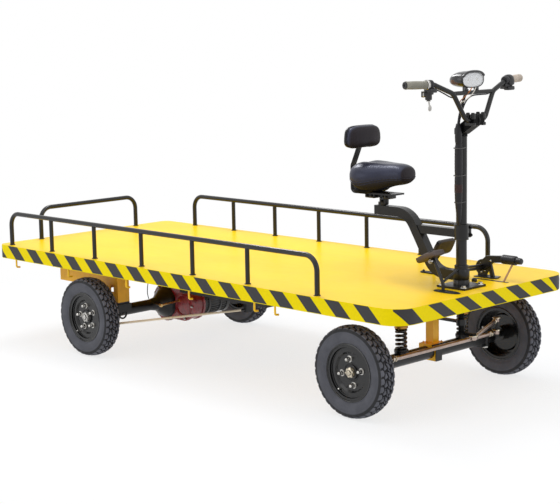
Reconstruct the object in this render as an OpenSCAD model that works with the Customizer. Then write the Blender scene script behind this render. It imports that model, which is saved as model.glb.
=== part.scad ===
// Electric platform truck: a flat load deck on four wheels, driven by a rear axle motor
// and steered by a handlebar on a column in front of a saddle.
// X runs forward, Y to the vehicle's left, Z up from the ground. Lengths in millimetres.

/* [Platform] */
// Length of the load deck
deck_l = 3000; // [2600:10:3600]
// Width of the load deck
deck_w = 1250; // [1150:10:1500]
// Height of the deck's top face above the ground
deck_z = 542; // [520:1:640]
// Depth of the folded skirt round the deck
skirt_h = 75; // [60:1:100]
// Thickness of the deck sheet and the skirt
sheet_t = 4; // [3:0.5:6]
// Corner radius at the front of the deck
front_r = 110; // [80:5:160]
// Corner radius at the rear of the deck
rear_r = 50; // [40:5:90]
// Distance between two hazard stripes
stripe_pitch = 176; // [120:1:240]

/* [Guard rails] */
// Height of the rails' centre line above the deck
rail_h = 180; // [140:5:260]
// Outer diameter of the rail tube
rail_d = 25; // [20:1:34]
// Radius of the rails' end bends
rail_bend = 70; // [50:5:100]
// Distance from the deck's edge to the rail's centre line
rail_in = 35; // [28:1:60]

/* [Wheels] */
// Outer diameter of the tyres
tyre_d = 425; // [400:5:440]
// Section width of the tyres
tyre_w = 95; // [85:1:105]
// Distance from the deck's front edge to the front axle
front_over = 333; // [300:1:380]
// Distance from the deck's rear edge to the rear axle
rear_over = 748; // [600:1:900]
// Distance between the front tyres' middle planes
front_track = 1094; // [1070:1:1130]
// Distance between the rear tyres' middle planes
rear_track = 1121; // [1080:1:1150]

/* [Front axle and steering] */
// Distance between the two kingpins
kingpin_span = 810; // [780:1:830]
// Length of the steering arms
arm_l = 70; // [60:1:85]
// Height of the front axle beam
beam_h = 64; // [50:1:80]
// Distance from the deck's front edge to the steering column's axis
column_set = 160; // [140:1:180]
// Outer diameter of the column tube
column_d = 50; // [44:1:60]
// Height of the column tube's upper end above the deck
column_h = 698; // [600:1:800]
// Distance between the handlebar's outer ends
bar_w = 822; // [720:2:900]

/* [Seat] */
// Height of the seat tube's upper run above the deck, at its centre line
seat_tube_h = 320; // [280:1:360]
// Side of the square seat tube
seat_tube_s = 45; // [40:1:55]
// Length of the saddle
saddle_l = 334; // [300:1:400]
// Width of the saddle
saddle_w = 262; // [220:2:300]
// Thickness of the saddle
saddle_t = 152; // [120:1:170]

/* [Hidden] */
$fn = 64;

// Running clearance of a shaft in its bore, and gap between a turning face and its neighbour
run = 0.05;
face_gap = 1;

half_l = deck_l / 2;
half_w = deck_w / 2;
axle_z = tyre_d / 2;
deck_bot = deck_z - sheet_t;
skirt_z = deck_z - skirt_h;
front_x = half_l - front_over;
rear_x = rear_over - half_l;
column_x = half_l - column_set;
kingpin_y = kingpin_span / 2;
rail_y = half_w - rail_in;
rail_z = deck_z + rail_h;

// Tape on the skirt
tape_t = 1;
tape_low = 3;
tape_h = skirt_h - tape_low - 2;
stripe_w = 0.5 * stripe_pitch;
side_lean = 72;
end_lean = 108;

// Feet of the guard rails as shares of the deck's half length, rear end first
RIGHT_FEET = [-0.940, -0.687, -0.433, -0.173, 0.090, 0.353, 0.657];
LEFT_FEET = [-0.793, -0.560, -0.327, -0.093, 0.147, 0.400, 0.693];
rear_rail_y = 0.56 * half_w;

// Ladder under the deck: cross members fill the skirt's depth, two long beams run below them
cross_w = 60;
cross_bot = skirt_z + 5;
cross_l = deck_w - 2 * max(front_r, 60);
CROSS_X = [-half_l + 70, rear_x - 260, rear_x, -320, 320, 720, front_x, half_l - 70];
long_y = 365;
long_w = 40;
long_h = 58;
long_bot = cross_bot - long_h;
long_l = front_x - 150 + half_l - 40;

// Tyre and rim
rim_seat_r = tyre_d / 2 - tyre_w + 2.5;
rim_lip_r = rim_seat_r + 11;
tread_w = tyre_w - 14;
rim_w = tyre_w - 21;
rim_t = 4;
hub_r = 36;
hub_in = 34;
hub_out = 22;
hub_nut = 13;
front_stub_r = 12.5;
rear_stub_r = 15;

// Kingpin joint
kingpin_r = 10;
sleeve_r = 20;
sleeve_h = 60;
lug_t = 12;
lug_r = 21;
yoke_in = 27;
yoke_t = 18;
arm_t = 12;
arm_w = 18;
pin_r = 7;
eye_r = 15;
eye_t = 16;
arm_z = axle_z + 13;
tie_z = arm_z + arm_t + face_gap + eye_t / 2;
drag_z = tie_z + 62;

// Steering column and shaft
shaft_r = 14;
bush_l = 40;
base_s = 160;
sleeve_od = column_d + 14;
base_t = 10;
sleeve_top = deck_z + 98;
collar_z = deck_z + 222;
collar_h = 68;
collar_r = column_d / 2 + 8;
column_top = deck_z + column_h;
head_h = 32;
stay_z = axle_z + 158;

// Handlebar: its clamp, bends and grip ends
bar_r = 11;
cross_r = 9.5;
bar_bend = 45;
clamp_x = column_x + 78;
clamp_z = column_top + 73;
BAR = [
    // x behind or before the clamp, distance from the middle as a share of the half width, rise
    [0, 0.163, 0],
    [-12, 0.350, 123],
    [-26, 0.630, 167],
    [-61, 1.000, 170]
];
grip_r = 16.5;

// Seat tube, in the middle plane: rear end, upper corner, lower corner, front end
seat_z = deck_z + seat_tube_h;
SEAT_PATH = [
    [column_x - 515, seat_z],
    [column_x - 310, seat_z],
    [column_x - 150, deck_z + 53],
    [column_x - 20, deck_z + 53]
];
tie_bar_s = 38;
tie_bar_z = collar_z + 27;
post_x = column_x - 482;
saddle_bot = seat_z + 84;
saddle_x = column_x - 473;

// Rear axle
tube_r = 31;
drum_r = 90;
drum_t = 30;
gear_r = 102;
gear_y0 = -25;
gear_y1 = 62;
motor_dx = 150;
motor_r = 72;
motor_l = 200;
hanger_x = 100;
hanger_y = 80;
tail_l = 484;
tail_h = 78;

// Round bar from p to q
module bar(p, q, r) {
    d = q - p;
    l = norm(d);
    translate(p)
        rotate([0, acos(d[2] / l), atan2(d[1], d[0])])
            cylinder(r = r, h = l);
}

function unit(v) = v / norm(v);
function reverse(v) = [for (i = [len(v) - 1 : -1 : 0]) v[i]];

// Angle by which a path turns at its point i, and the length that a bend takes from each side of it
function turn(p, i) = acos(min(1, unit(p[i] - p[i - 1]) * unit(p[i + 1] - p[i])));
function trim(p, i, bend) = bend * tan(turn(p, i) / 2);

// Part of a ring that joins two straight bars at p; it is thicker by bend_rim, so the bars end inside it
bend_rim = 0.2;

module elbow(a, p, b, r, bend) {
    u = unit(p - a);
    v = unit(b - p);
    n = unit(cross(u, v));
    inward = cross(n, u);
    c = p - u * bend * tan(acos(u * v) / 2) + inward * bend;
    multmatrix([
        [-inward[0], u[0], n[0], c[0]],
        [-inward[1], u[1], n[1], c[1]],
        [-inward[2], u[2], n[2], c[2]],
        [0, 0, 0, 1]])
        rotate_extrude(angle = acos(u * v))
            translate([bend, 0])
                circle(r = r + bend_rim);
}

// Bent round bar through all points; without a bend its corners are balls
module rod(p, r, bend = 0) {
    n = len(p) - 1;
    for (i = [0 : n - 1]) {
        u = unit(p[i + 1] - p[i]);
        bar(p[i] + u * (i == 0 ? 0 : trim(p, i, bend) - 1),
            p[i + 1] - u * (i == n - 1 ? 0 : trim(p, i + 1, bend) - 1), r);
    }
    if (n > 1)
        for (i = [1 : n - 1])
            if (bend > 0)
                elbow(p[i - 1], p[i], p[i + 1], r, bend);
            else
                translate(p[i])
                    sphere(r = r + bend_rim);
}

// 2-D path whose inner corners are arcs of radius r
function rounded(p, r, n = 8) = [
    for (i = [0 : len(p) - 1])
        if (i == 0 || i == len(p) - 1) p[i]
        else
            let (a = unit(p[i - 1] - p[i]), b = unit(p[i + 1] - p[i]), half = acos(a * b) / 2,
                c = p[i] + unit(a + b) * r / sin(half), s = p[i] + a * r / tan(half) - c,
                e = p[i] + b * r / tan(half) - c, a0 = atan2(s[1], s[0]),
                sweep = (atan2(e[1], e[0]) - a0 + 540) % 360 - 180)
                each [for (k = [0 : n]) c + r * [cos(a0 + sweep * k / n), sin(a0 + sweep * k / n)]]
];

// Points at distance d to the left of a 2-D path
function beside(p, d) = [
    for (i = [0 : len(p) - 1])
        let (t0 = i > 0 ? unit(p[i] - p[i - 1]) : unit(p[1] - p[0]),
            t1 = i < len(p) - 1 ? unit(p[i + 1] - p[i]) : t0,
            n0 = [-t0[1], t0[0]], m = unit(n0 + [-t1[1], t1[0]]))
            p[i] + m * d / (m * n0)
];

// Flat strip of width w along a 2-D path with bends of radius r at its middle line
module strip(p, w, r = 0) {
    q = r > 0 ? rounded(p, r) : p;
    polygon(concat(beside(q, w / 2), reverse(beside(q, -w / 2))));
}

// Extrudes an X-Z profile by w, centred on y
module side_extrude(w, y = 0) {
    translate([0, y + w / 2, 0])
        rotate([90, 0, 0])
            linear_extrude(w)
                children();
}

// Cylinder along Y, from y0 to y1
module y_cyl(r, y0, y1) {
    translate([0, max(y0, y1), 0])
        rotate([90, 0, 0])
            cylinder(r = r, h = abs(y1 - y0));
}

// Revolves an (outward, radius) profile about Y; outward is away from the vehicle
module y_revolve(side) {
    rotate([-90 * side, 0, 0])
        rotate_extrude()
            children();
}

// Slot with round ends, along X
module slot_2d(l, w) {
    square([l - w, w], center = true);
    for (s = [-1, 1])
        translate([s * (l - w) / 2, 0])
            circle(d = w);
}

// Deck outline, shrunk by inset
module outline(inset) {
    fr = front_r - inset;
    rr = rear_r - inset;
    hl = half_l - inset;
    hw = half_w - inset;
    translate([-hl + rr, -hw])
        square([2 * hl - rr - fr, 2 * hw]);
    translate([-hl, rr - hw])
        square([2 * rr, 2 * (hw - rr)]);
    translate([hl - 2 * fr, fr - hw])
        square([2 * fr, 2 * (hw - fr)]);
    for (s = [-1, 1]) {
        translate([rr - hl, s * (hw - rr)])
            circle(r = rr);
        translate([hl - fr, s * (hw - fr)])
            circle(r = fr);
    }
}

// Places of the slots cut for the pedals and the parking lever's rod: x, y, length, width
SLOTS = [
    [column_x + 38, -152, 132, 24],
    [column_x + 30, 215, 150, 14]
];

module deck() {
    color([0.97, 0.82, 0.20])
        difference() {
            translate([0, 0, skirt_z])
                linear_extrude(skirt_h)
                    outline(tape_t);
            translate([0, 0, skirt_z - 1])
                linear_extrude(skirt_h - sheet_t + 1)
                    outline(tape_t + sheet_t);
            translate([column_x, 0, deck_bot - 1])
                cylinder(r = shaft_r + 6, h = sheet_t + 2);
            for (s = SLOTS)
                translate([s[0], s[1], deck_bot - 1])
                    linear_extrude(sheet_t + 2)
                        slot_2d(s[2], s[3]);
        }
}

// One slanted stripe standing in the X-Z plane, its upper edge starting at x = 0
module stripe_2d(lean) {
    polygon([[lean, 0], [lean + stripe_w, 0], [stripe_w, tape_h], [0, tape_h]]);
}

module hazard_stripes() {
    side_n = floor((deck_l - front_r) / stripe_pitch);
    end_n = floor((deck_w - 2 * front_r) / stripe_pitch);
    reach = front_r / 2;
    color([0.22, 0.21, 0.22])
        translate([0, 0, skirt_z + tape_low])
            intersection() {
                linear_extrude(tape_h)
                    difference() {
                        outline(0);
                        outline(tape_t);
                    }
                union() {
                    for (k = [0, 180])
                        rotate([0, 0, k])
                            for (i = [0 : side_n])
                                translate([half_l - front_r - side_lean - stripe_w / 2 - 38 - i * stripe_pitch, 0, 0])
                                    side_extrude(reach, -half_w)
                                        stripe_2d(side_lean);
                    for (k = [90, 270])
                        rotate([0, 0, k])
                            for (i = [0 : end_n - 1])
                                translate([(i - end_n / 2) * stripe_pitch * 1.055 + 33, 0, 0])
                                    side_extrude(reach / 2, -half_l)
                                        stripe_2d(end_lean);
                    for (s = [-1, 1])
                        translate([half_l - front_r, s * (half_w - front_r), 0])
                            rotate([0, 0, 90 + s * 15])
                                translate([-(side_lean + stripe_w) / 2, 0, 0])
                                    side_extrude(reach, -front_r)
                                        stripe_2d(side_lean);
                }
            }
}

module cross_members() {
    color([0.86, 0.62, 0.12])
        for (x = CROSS_X)
            translate([x - cross_w / 2, -cross_l / 2, cross_bot])
                difference() {
                    cube([cross_w, cross_l, deck_bot - cross_bot]);
                    translate([sheet_t, -1, sheet_t])
                        cube([cross_w - 2 * sheet_t, deck_w, deck_bot - cross_bot - 2 * sheet_t]);
                }
}

module long_beam(side) {
    color([0.86, 0.62, 0.12])
        translate([-half_l + 40, side * long_y - long_w / 2, long_bot])
            difference() {
                cube([long_l, long_w, long_h]);
                translate([-1, sheet_t, sheet_t])
                    cube([deck_l, long_w - 2 * sheet_t, long_h - 2 * sheet_t]);
            }
}

module long_beam_right() {
    long_beam(-1);
}

module long_beam_left() {
    long_beam(1);
}

// Hoop of tube in the X-Z plane with its feet at f[0] and the last, and posts at the others
module hoop(f) {
    n = len(f) - 1;
    r = rail_d / 2;
    for (e = [[f[0], 1], [f[n], -1]]) {
        translate([e[0], 0, deck_z])
            cylinder(r = r, h = rail_h - rail_bend);
        translate([e[0] + e[1] * rail_bend, 0, rail_z - rail_bend])
            rotate([90, 0, 0])
                rotate([0, 0, e[1] > 0 ? 90 : 0])
                    rotate_extrude(angle = 90)
                        translate([rail_bend, 0])
                            circle(r = r);
    }
    translate([f[0] + rail_bend, 0, rail_z])
        rotate([0, 90, 0])
            cylinder(r = r, h = f[n] - f[0] - 2 * rail_bend);
    if (n > 1)
        for (i = [1 : n - 1])
            translate([f[i], 0, deck_z])
                cylinder(r = r * 0.9, h = rail_h);
}

module guard_rail_right() {
    color([0.05, 0.05, 0.055])
        translate([0, -rail_y, 0])
            hoop(RIGHT_FEET * half_l);
}

module guard_rail_left() {
    color([0.05, 0.05, 0.055])
        translate([0, rail_y, 0])
            hoop(LEFT_FEET * half_l);
}

module guard_rail_rear() {
    color([0.05, 0.05, 0.055])
        translate([-half_l + rail_in, 0, 0])
            rotate([0, 0, 90])
                hoop([-rear_rail_y, rear_rail_y]);
}

// Rope hooks below the skirt, as shares of the deck's half length
HOOK_X = [-0.894, -0.570, -0.239, 0.088, 0.399, 0.491];
hook_d = 10;
hook_drop = 42;

module rope_hooks() {
    color([0.93, 0.68, 0.10])
        for (s = [-1, 1], x = HOOK_X)
            translate([x * half_l, s * (half_w - tape_t - sheet_t - hook_d / 2), skirt_z])
                rod([[0, 0, 32], [0, 0, -hook_drop], [0, -s * 22, -hook_drop - 3]], hook_d / 2, 9);
}

battery_l = 620;
battery_w = 560;
battery_h = 118;

module battery() {
    color([0.12, 0.12, 0.13])
        translate([-battery_l / 2 - 20, -battery_w / 2, cross_bot - battery_h])
            cube([battery_l + 40, battery_w, battery_h]);
}

// Radius of the axle's bell at the gear case; the left one clears the motor
function bell(s) = s < 0 ? gear_r - 14 : motor_dx - motor_r - 10;

module rear_axle() {
    hub_end = rear_track / 2 + hub_out;
    stub_start = rear_track / 2 - hub_in - face_gap;
    drum_in = rear_track / 2 - hub_in - 7 - drum_t;
    color([0.05, 0.05, 0.055])
        translate([rear_x, 0, axle_z])
            for (s = [-1, 1]) {
                a = s < 0 ? -gear_y0 : gear_y1;
                y_cyl(tube_r, s * a, s * drum_in);
                y_revolve(s)
                    polygon([[0, a], [bell(s), a], [bell(s) - 6, a + 20], [tube_r + 8, a + 74], [tube_r, a + 118],
                        [0, a + 118]]);
                y_cyl(drum_r, s * drum_in, s * (drum_in + drum_t));
                y_cyl(rear_stub_r + 7, s * (drum_in + drum_t), s * stub_start);
                y_cyl(rear_stub_r, s * (stub_start - 1), s * (hub_end + hub_nut + 4));
                y_cyl(rear_stub_r + 7, s * (hub_end + face_gap), s * (hub_end + hub_nut));
            }
}

// Outline of the gear case in the X-Z plane: a large round for the axle and a small one for the motor
module gear_2d(grow) {
    circle(r = gear_r + grow);
    translate([motor_dx, 0])
        circle(r = motor_r + 12 + grow);
    translate([0, -motor_r - 12 - grow])
        square([motor_dx, 2 * (motor_r + 12 + grow)]);
}

module gearbox() {
    color([0.50, 0.07, 0.09])
        translate([rear_x, 0, axle_z]) {
            side_extrude(gear_y1 - gear_y0, (gear_y0 + gear_y1) / 2)
                gear_2d(0);
            for (y = [gear_y0 + 7, gear_y1 - 7])
                side_extrude(14, y)
                    gear_2d(5);
        }
}

module motor() {
    color([0.06, 0.06, 0.065])
        translate([rear_x + motor_dx, 0, axle_z]) {
            y_cyl(motor_r - 5, gear_y1, gear_y1 + motor_l);
            for (b = [[0, 22], [44, 58], [motor_l - 72, motor_l - 58], [motor_l - 22, motor_l]])
                y_cyl(motor_r, gear_y1 + b[0], gear_y1 + b[1]);
            y_cyl(motor_r - 24, gear_y1 + motor_l, gear_y1 + motor_l + 16);
        }
}

module rear_hangers() {
    pad_z = axle_z + tube_r;
    color([0.86, 0.62, 0.12])
        for (s = [-1, 1]) {
            difference() {
                translate([rear_x - hanger_x / 2, s * long_y - hanger_y / 2, pad_z + 14])
                    cube([hanger_x, hanger_y, long_bot - pad_z - 14]);
                translate([rear_x - 15, s * long_y - hanger_y, pad_z + 80])
                    cube([30, 2 * hanger_y, 40]);
                translate([rear_x - hanger_x / 2 - 1, s * long_y - hanger_y / 2 + 8, pad_z + 13])
                    cube([hanger_x - 7, hanger_y - 16, long_bot - pad_z - 21]);
            }
            translate([rear_x - tail_l, s * long_y - 28, long_bot - tail_h])
                cube([tail_l - hanger_x / 2, 56, tail_h]);
        }
    color([0.05, 0.05, 0.055])
        for (s = [-1, 1])
            difference() {
                translate([rear_x - hanger_x / 2 - 8, s * long_y - hanger_y / 2 - 6, axle_z])
                    cube([hanger_x + 16, hanger_y + 12, tube_r + 14]);
                translate([rear_x, 0, axle_z])
                    y_cyl(tube_r, s * (long_y - hanger_y), s * (long_y + hanger_y));
            }
}

// Pull rods of the rear brakes, from a lever at each drum to one lever below the battery
module brake_rod() {
    drum_in = rear_track / 2 - hub_in - 7 - drum_t;
    mid = [-105, 0, cross_bot - battery_h - 105];
    color([0.72, 0.71, 0.69]) {
        for (s = [-1, 1]) {
            eye = [rear_x + drum_r + 42, s * (drum_in - 8), axle_z - 36];
            translate([rear_x, s * (drum_in - 8), axle_z])
                side_extrude(16)
                    strip([[drum_r - 24, -6], [drum_r + 44, -38]], 18);
            bar(eye, mid + [0, s * 14, 0], 6);
        }
        translate(mid + [-11, -20, -14])
            cube([22, 40, 119]);
    }
}

module front_beam() {
    yoke_y = kingpin_y - yoke_in;
    lug_z = sleeve_h / 2 + face_gap;
    color([0.05, 0.05, 0.055])
        translate([front_x, 0, axle_z]) {
            y_cyl(beam_h / 2, -yoke_y + yoke_t / 2, yoke_y - yoke_t / 2);
            for (s = [-1, 1]) {
                translate([-16, s * (yoke_y - yoke_t / 2) - yoke_t / 2, -lug_z - lug_t])
                    cube([32, yoke_t, 2 * (lug_z + lug_t)]);
                for (e = [-1, 1])
                    translate([0, s * kingpin_y, e * (lug_z + lug_t / 2) - lug_t / 2]) {
                        cylinder(r = lug_r, h = lug_t);
                        translate([-16, s > 0 ? -yoke_in : 0, 0])
                            cube([32, yoke_in, lug_t]);
                    }
                translate([0, s * kingpin_y, -lug_z - lug_t - 6])
                    cylinder(r = kingpin_r, h = 2 * (lug_z + lug_t) + 12);
            }
        }
}

// Block with a bore for the front beam, w wide, from z0 to z1 above the beam's axis
module beam_block(w, z0, z1) {
    block_x = beam_h + 2 * 9;
    difference() {
        translate([front_x - block_x / 2, -w / 2, axle_z + z0])
            cube([block_x, w, z1 - z0]);
        translate([front_x, 0, axle_z])
            y_cyl(beam_h / 2, -w, w);
    }
}

// Middle post from the front cross member to the beam, with the stay of the steering shaft
module front_post() {
    post_s = 44;
    top = beam_h / 2 + 10;
    color([0.86, 0.62, 0.12]) {
        translate([front_x - post_s / 2, -post_s / 2, axle_z + top])
            cube([post_s, post_s, cross_bot - axle_z - top]);
        translate([front_x - post_s / 2 - 8, -post_s / 2 - 8, cross_bot - 14])
            cube([post_s + 16, post_s + 16, 14]);
        beam_block(100, 18, top);
        beam_block(44, -top, 19);
        difference() {
            union() {
                translate([front_x, -10, stay_z])
                    cube([column_x - front_x, 20, 12]);
                translate([column_x, 0, stay_z - 8])
                    cylinder(r = shaft_r + 10, h = 28);
            }
            translate([column_x, 0, stay_z - 9])
                cylinder(r = shaft_r + run, h = 30);
        }
    }
}

spring_y = 225;
spring_r = 23;
wire_d = 11;
spring_z = axle_z + beam_h / 2 + 8;
spring_h = 108;
turns = 5;

// Coil with ground ends: a lens-shaped cut of the wire, raised and turned
module front_springs() {
    pitch_a = atan(spring_h / turns / (2 * PI * spring_r));
    half_a = wire_d / 2 / sin(pitch_a) / spring_r * 180 / PI;
    lens_n = 6;
    lens = [for (i = [0 : 2 * lens_n - 1])
        let (u = cos(180 * i / lens_n), v = sin(180 * i / lens_n), r = spring_r + wire_d / 2 * v)
            [r * cos(u * half_a), r * sin(u * half_a)]];
    color([0.06, 0.06, 0.065])
        for (s = [-1, 1])
            translate([front_x, s * spring_y, spring_z])
                linear_extrude(height = spring_h, twist = -360 * turns, slices = 12 * turns, $fn = 12)
                    polygon(lens);
}

module spring_seats() {
    color([0.70, 0.52, 0.14])
        for (s = [-1, 1])
            translate([front_x, s * spring_y, 0]) {
                difference() {
                    translate([0, 0, axle_z + 8])
                        cylinder(r = spring_r + 9, h = beam_h / 2);
                    translate([0, 0, axle_z])
                        y_cyl(beam_h / 2, -60, 60);
                }
                translate([0, 0, spring_z])
                    cylinder(r = spring_r - wire_d / 2 - 2, h = 18);
                translate([0, 0, spring_z + spring_h])
                    cylinder(r = spring_r + 9, h = 10);
                translate([0, 0, spring_z + spring_h + 10])
                    cylinder(r = spring_r, h = cross_bot - spring_z - spring_h - 10);
            }
}

module column() {
    color([0.05, 0.05, 0.055])
        translate([column_x, 0, 0])
            difference() {
                union() {
                    translate([-base_s / 2, -base_s / 2, deck_z])
                        cube([base_s, base_s, base_t]);
                    translate([0, 0, deck_z])
                        cylinder(d = sleeve_od, h = sleeve_top - deck_z);
                    translate([0, 0, deck_z])
                        cylinder(d = column_d, h = column_h);
                    translate([0, 0, collar_z])
                        cylinder(r = collar_r, h = collar_h);
                }
                translate([0, 0, deck_z - 1])
                    cylinder(r = shaft_r + run, h = column_h + 2);
                translate([0, 0, deck_z + bush_l])
                    cylinder(r = shaft_r + 5, h = column_h - 2 * bush_l);
            }
}

module seat_tube_2d() {
    strip(SEAT_PATH, seat_tube_s, 110);
}

module tie_bar() {
    color([0.05, 0.05, 0.055])
        difference() {
            translate([SEAT_PATH[1][0], -tie_bar_s / 2, tie_bar_z - tie_bar_s / 2])
                cube([column_x - SEAT_PATH[1][0], tie_bar_s, tie_bar_s]);
            side_extrude(seat_tube_s + 2)
                union() {
                    seat_tube_2d();
                    polygon([SEAT_PATH[1], SEAT_PATH[2], [SEAT_PATH[1][0] - 60, SEAT_PATH[2][1]]]);
                }
            translate([column_x, 0, collar_z - 1])
                cylinder(r = collar_r, h = collar_h + 2);
        }
}

module seat_tube() {
    color([0.05, 0.05, 0.055])
        difference() {
            side_extrude(seat_tube_s)
                seat_tube_2d();
            translate([column_x, 0, deck_z])
                cylinder(d = sleeve_od, h = 200);
        }
}

module seat_post() {
    top = seat_z + seat_tube_s / 2;
    color([0.06, 0.06, 0.065]) {
        translate([post_x, 0, top])
            cylinder(r = 14, h = saddle_bot - top - 8);
        translate([post_x, 0, top])
            cylinder(r = 20, h = 16);
        translate([post_x - 70, -45, saddle_bot - 8])
            cube([170, 90, 8]);
    }
}

// Saddle seen from above: wide at the rear, round nose
module saddle_2d() {
    rr = saddle_w / 2;
    nr = saddle_w * 0.24;
    intersection() {
        translate([-saddle_l / 2 + rr * 0.62, 0])
            circle(r = rr);
        translate([-saddle_l / 2, -rr])
            square([saddle_l, 2 * rr]);
    }
    translate([saddle_l / 2 - nr, 0])
        circle(r = nr);
    polygon([[-saddle_l / 2 + rr * 0.62, -rr], [saddle_l / 2 - nr, -nr], [saddle_l / 2 - nr, nr],
        [-saddle_l / 2 + rr * 0.62, rr]]);
}

module saddle() {
    l = saddle_l;
    t = saddle_t;
    color([0.06, 0.07, 0.11])
        translate([saddle_x, 0, saddle_bot])
            intersection() {
                linear_extrude(t + 20)
                    saddle_2d();
                side_extrude(saddle_w + 2)
                    polygon([[-l / 2, t * 0.24], [-l * 0.36, 0], [l * 0.12, 0], [l / 2, t * 0.27], [l / 2, t * 0.62],
                        [l * 0.38, t * 0.75], [l * 0.06, t * 0.86], [-l * 0.2, t], [-l * 0.4, t], [-l / 2, t * 0.8]]);
            }
}

rest_x = saddle_x - 123;
rest_z = saddle_bot + saddle_t + 111;
rest_w = 268;
rest_h = 130;
rest_t = 50;

module backrest_bracket() {
    color([0.05, 0.05, 0.055])
        side_extrude(34)
            strip([[post_x - 60, saddle_bot - 11], [saddle_x - saddle_l / 2 - 30, saddle_bot - 11],
                [saddle_x - saddle_l / 2 - 30, saddle_bot + 120], [rest_x - rest_t / 2 - 3, rest_z - 40],
                [rest_x - rest_t / 2 - 3, rest_z + 20]], 6, 24);
}

module backrest() {
    color([0.06, 0.07, 0.11])
        translate([rest_x, 0, rest_z])
            rotate([0, 90, 0])
                translate([0, 0, -rest_t / 2])
                    linear_extrude(rest_t)
                        union() {
                            square([rest_h - 70, rest_w], center = true);
                            square([rest_h, rest_w - 70], center = true);
                            for (a = [-1, 1], b = [-1, 1])
                                translate([a * (rest_h / 2 - 35), b * (rest_w / 2 - 35)])
                                    circle(r = 35);
                        }
}

// Foot pad lying on its back: a plate with round ends
module pad(l, w, t) {
    linear_extrude(t)
        union() {
            square([l, w - 30], center = true);
            square([l - 30, w], center = true);
            for (a = [-1, 1], b = [-1, 1])
                translate([a * (l / 2 - 15), b * (w / 2 - 15)])
                    circle(r = 15);
        }
}

module pedal_right() {
    px = column_x - 80;
    py = -130;
    color([0.07, 0.07, 0.075]) {
        translate([px, py, deck_z + 152])
            rotate([0, -25, 0])
                translate([0, 0, -9])
                    pad(110, 92, 18);
        rod([[px + 15, py, deck_z + 156], [column_x + 12, py - 20, deck_z + 40],
            [column_x + 20, py - 24, deck_z - 40]], 8, 30);
        difference() {
            bar([column_x + 10, py - 14, deck_z + 44], [column_x + 6, -column_d / 2, deck_z + 88], 6);
            translate([column_x, 0, deck_z])
                cylinder(r = sleeve_od / 2, h = sleeve_top - deck_z);
        }
    }
}

module pedal_left() {
    px = column_x - 225;
    py = 150;
    color([0.07, 0.07, 0.075]) {
        translate([px, py, deck_z + 147])
            rotate([0, -62, 0])
                translate([0, 0, -7])
                    pad(76, 130, 14);
        rod([[px - 8, py + 10, deck_z + 140], [px - 84, py + 30, deck_z + 60], [px - 92, py + 35, deck_z + 2]], 8, 30);
        translate([px - 105, py + 35, deck_z])
            linear_extrude(4)
                slot_2d(132, 34);
    }
}

module parking_lever() {
    lx = column_x - 89;
    ly = 275;
    color([0.06, 0.06, 0.065]) {
        translate([lx - 30, ly - 30, deck_z])
            cube([110, 66, 5]);
        translate([lx, ly, deck_z + 44])
            side_extrude(8)
                union() {
                    circle(r = 38);
                    translate([-26, -42])
                        square([52, 42]);
                }
        translate([lx, ly - 10, deck_z + 44])
            side_extrude(12)
                union() {
                    strip([[0, 0], [22, 40], [130, 54]], 26, 20);
                    strip([[44, 44], [68, -40]], 20);
                }
        bar([lx + 126, ly - 10, deck_z + 98], [lx + 200, ly - 10, deck_z + 97], 19);
        bar([lx + 199, ly - 10, deck_z + 97], [lx + 233, ly - 10, deck_z + 96], 13);
        bar([lx + 190, ly - 14, deck_z + 88], [lx + 168, SLOTS[1][1], deck_z - 2], 4);
    }
}

// Wrapped loom tied to the column, from its top to the collar, where it thins
loom_r = 18;
loom_thin_r = 11;

module cable_loom() {
    d = [cos(290), sin(290), 0];
    at = [column_x, 0, 0];
    low = collar_z + collar_h;
    color([0.05, 0.05, 0.055]) {
        translate(at + d * (column_d / 2 + loom_r) + [0, 0, low + 150])
            cylinder(r = loom_r, h = column_top - 30 - low - 150);
        translate(at + d * (column_d / 2 + loom_thin_r + 0.5) + [0, 0, low])
            cylinder(r = loom_thin_r, h = 155);
    }
}

// Shaft with its head, the handlebar clamp and the arm below the deck
module steering_stem() {
    low = drag_z + eye_t / 2 + face_gap;
    block = [44, 78, 46];
    color([0.05, 0.05, 0.055]) {
        translate([column_x, 0, low])
            cylinder(r = shaft_r, h = column_top + head_h - low);
        translate([column_x, 0, column_top + face_gap])
            cylinder(r = column_d / 2 + 2, h = head_h - face_gap);
        difference() {
            union() {
                translate([clamp_x, 0, clamp_z] - block / 2)
                    cube(block);
                side_extrude(56)
                    polygon([[column_x - 20, column_top + 6], [column_x + 20, column_top + 6],
                        [clamp_x + 14, clamp_z - 20], [clamp_x - 20, clamp_z + 12],
                        [column_x - 20, column_top + head_h]]);
            }
            translate([clamp_x, 0, clamp_z])
                y_cyl(bar_r + run, -60, 60);
        }
        translate([column_x, 0, low])
            linear_extrude(arm_t)
                union() {
                    circle(r = shaft_r + 9);
                    translate([0, -arm_w / 2])
                        square([arm_l, arm_w]);
                    translate([arm_l, 0])
                        circle(r = eye_r);
                }
        translate([column_x + arm_l, 0, drag_z - eye_t / 2 - 5])
            cylinder(r = pin_r, h = low - drag_z + eye_t / 2 + 5);
    }
}

function bar_point(i, s) = [clamp_x + BAR[i][0], s * BAR[i][1] * bar_w / 2, clamp_z + BAR[i][2]];

module handlebar() {
    color([0.06, 0.06, 0.065]) {
        rod([bar_point(3, -1), bar_point(2, -1), bar_point(1, -1), bar_point(0, -1),
            bar_point(0, 1), bar_point(1, 1), bar_point(2, 1), bar_point(3, 1)], bar_r, bar_bend);
        bar(bar_point(1, -1), bar_point(1, 1), cross_r);
    }
}

// Point on the outer bar run, t from its inner bend to its end
function on_grip(s, t) = bar_point(2, s) + t * (bar_point(3, s) - bar_point(2, s));

module sleeve(s, t0, t1, r) {
    difference() {
        bar(on_grip(s, t0), on_grip(s, t1), r);
        bar(on_grip(s, t0 - 0.1), on_grip(s, t1 + 0.1), bar_r + run);
    }
}

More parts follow.
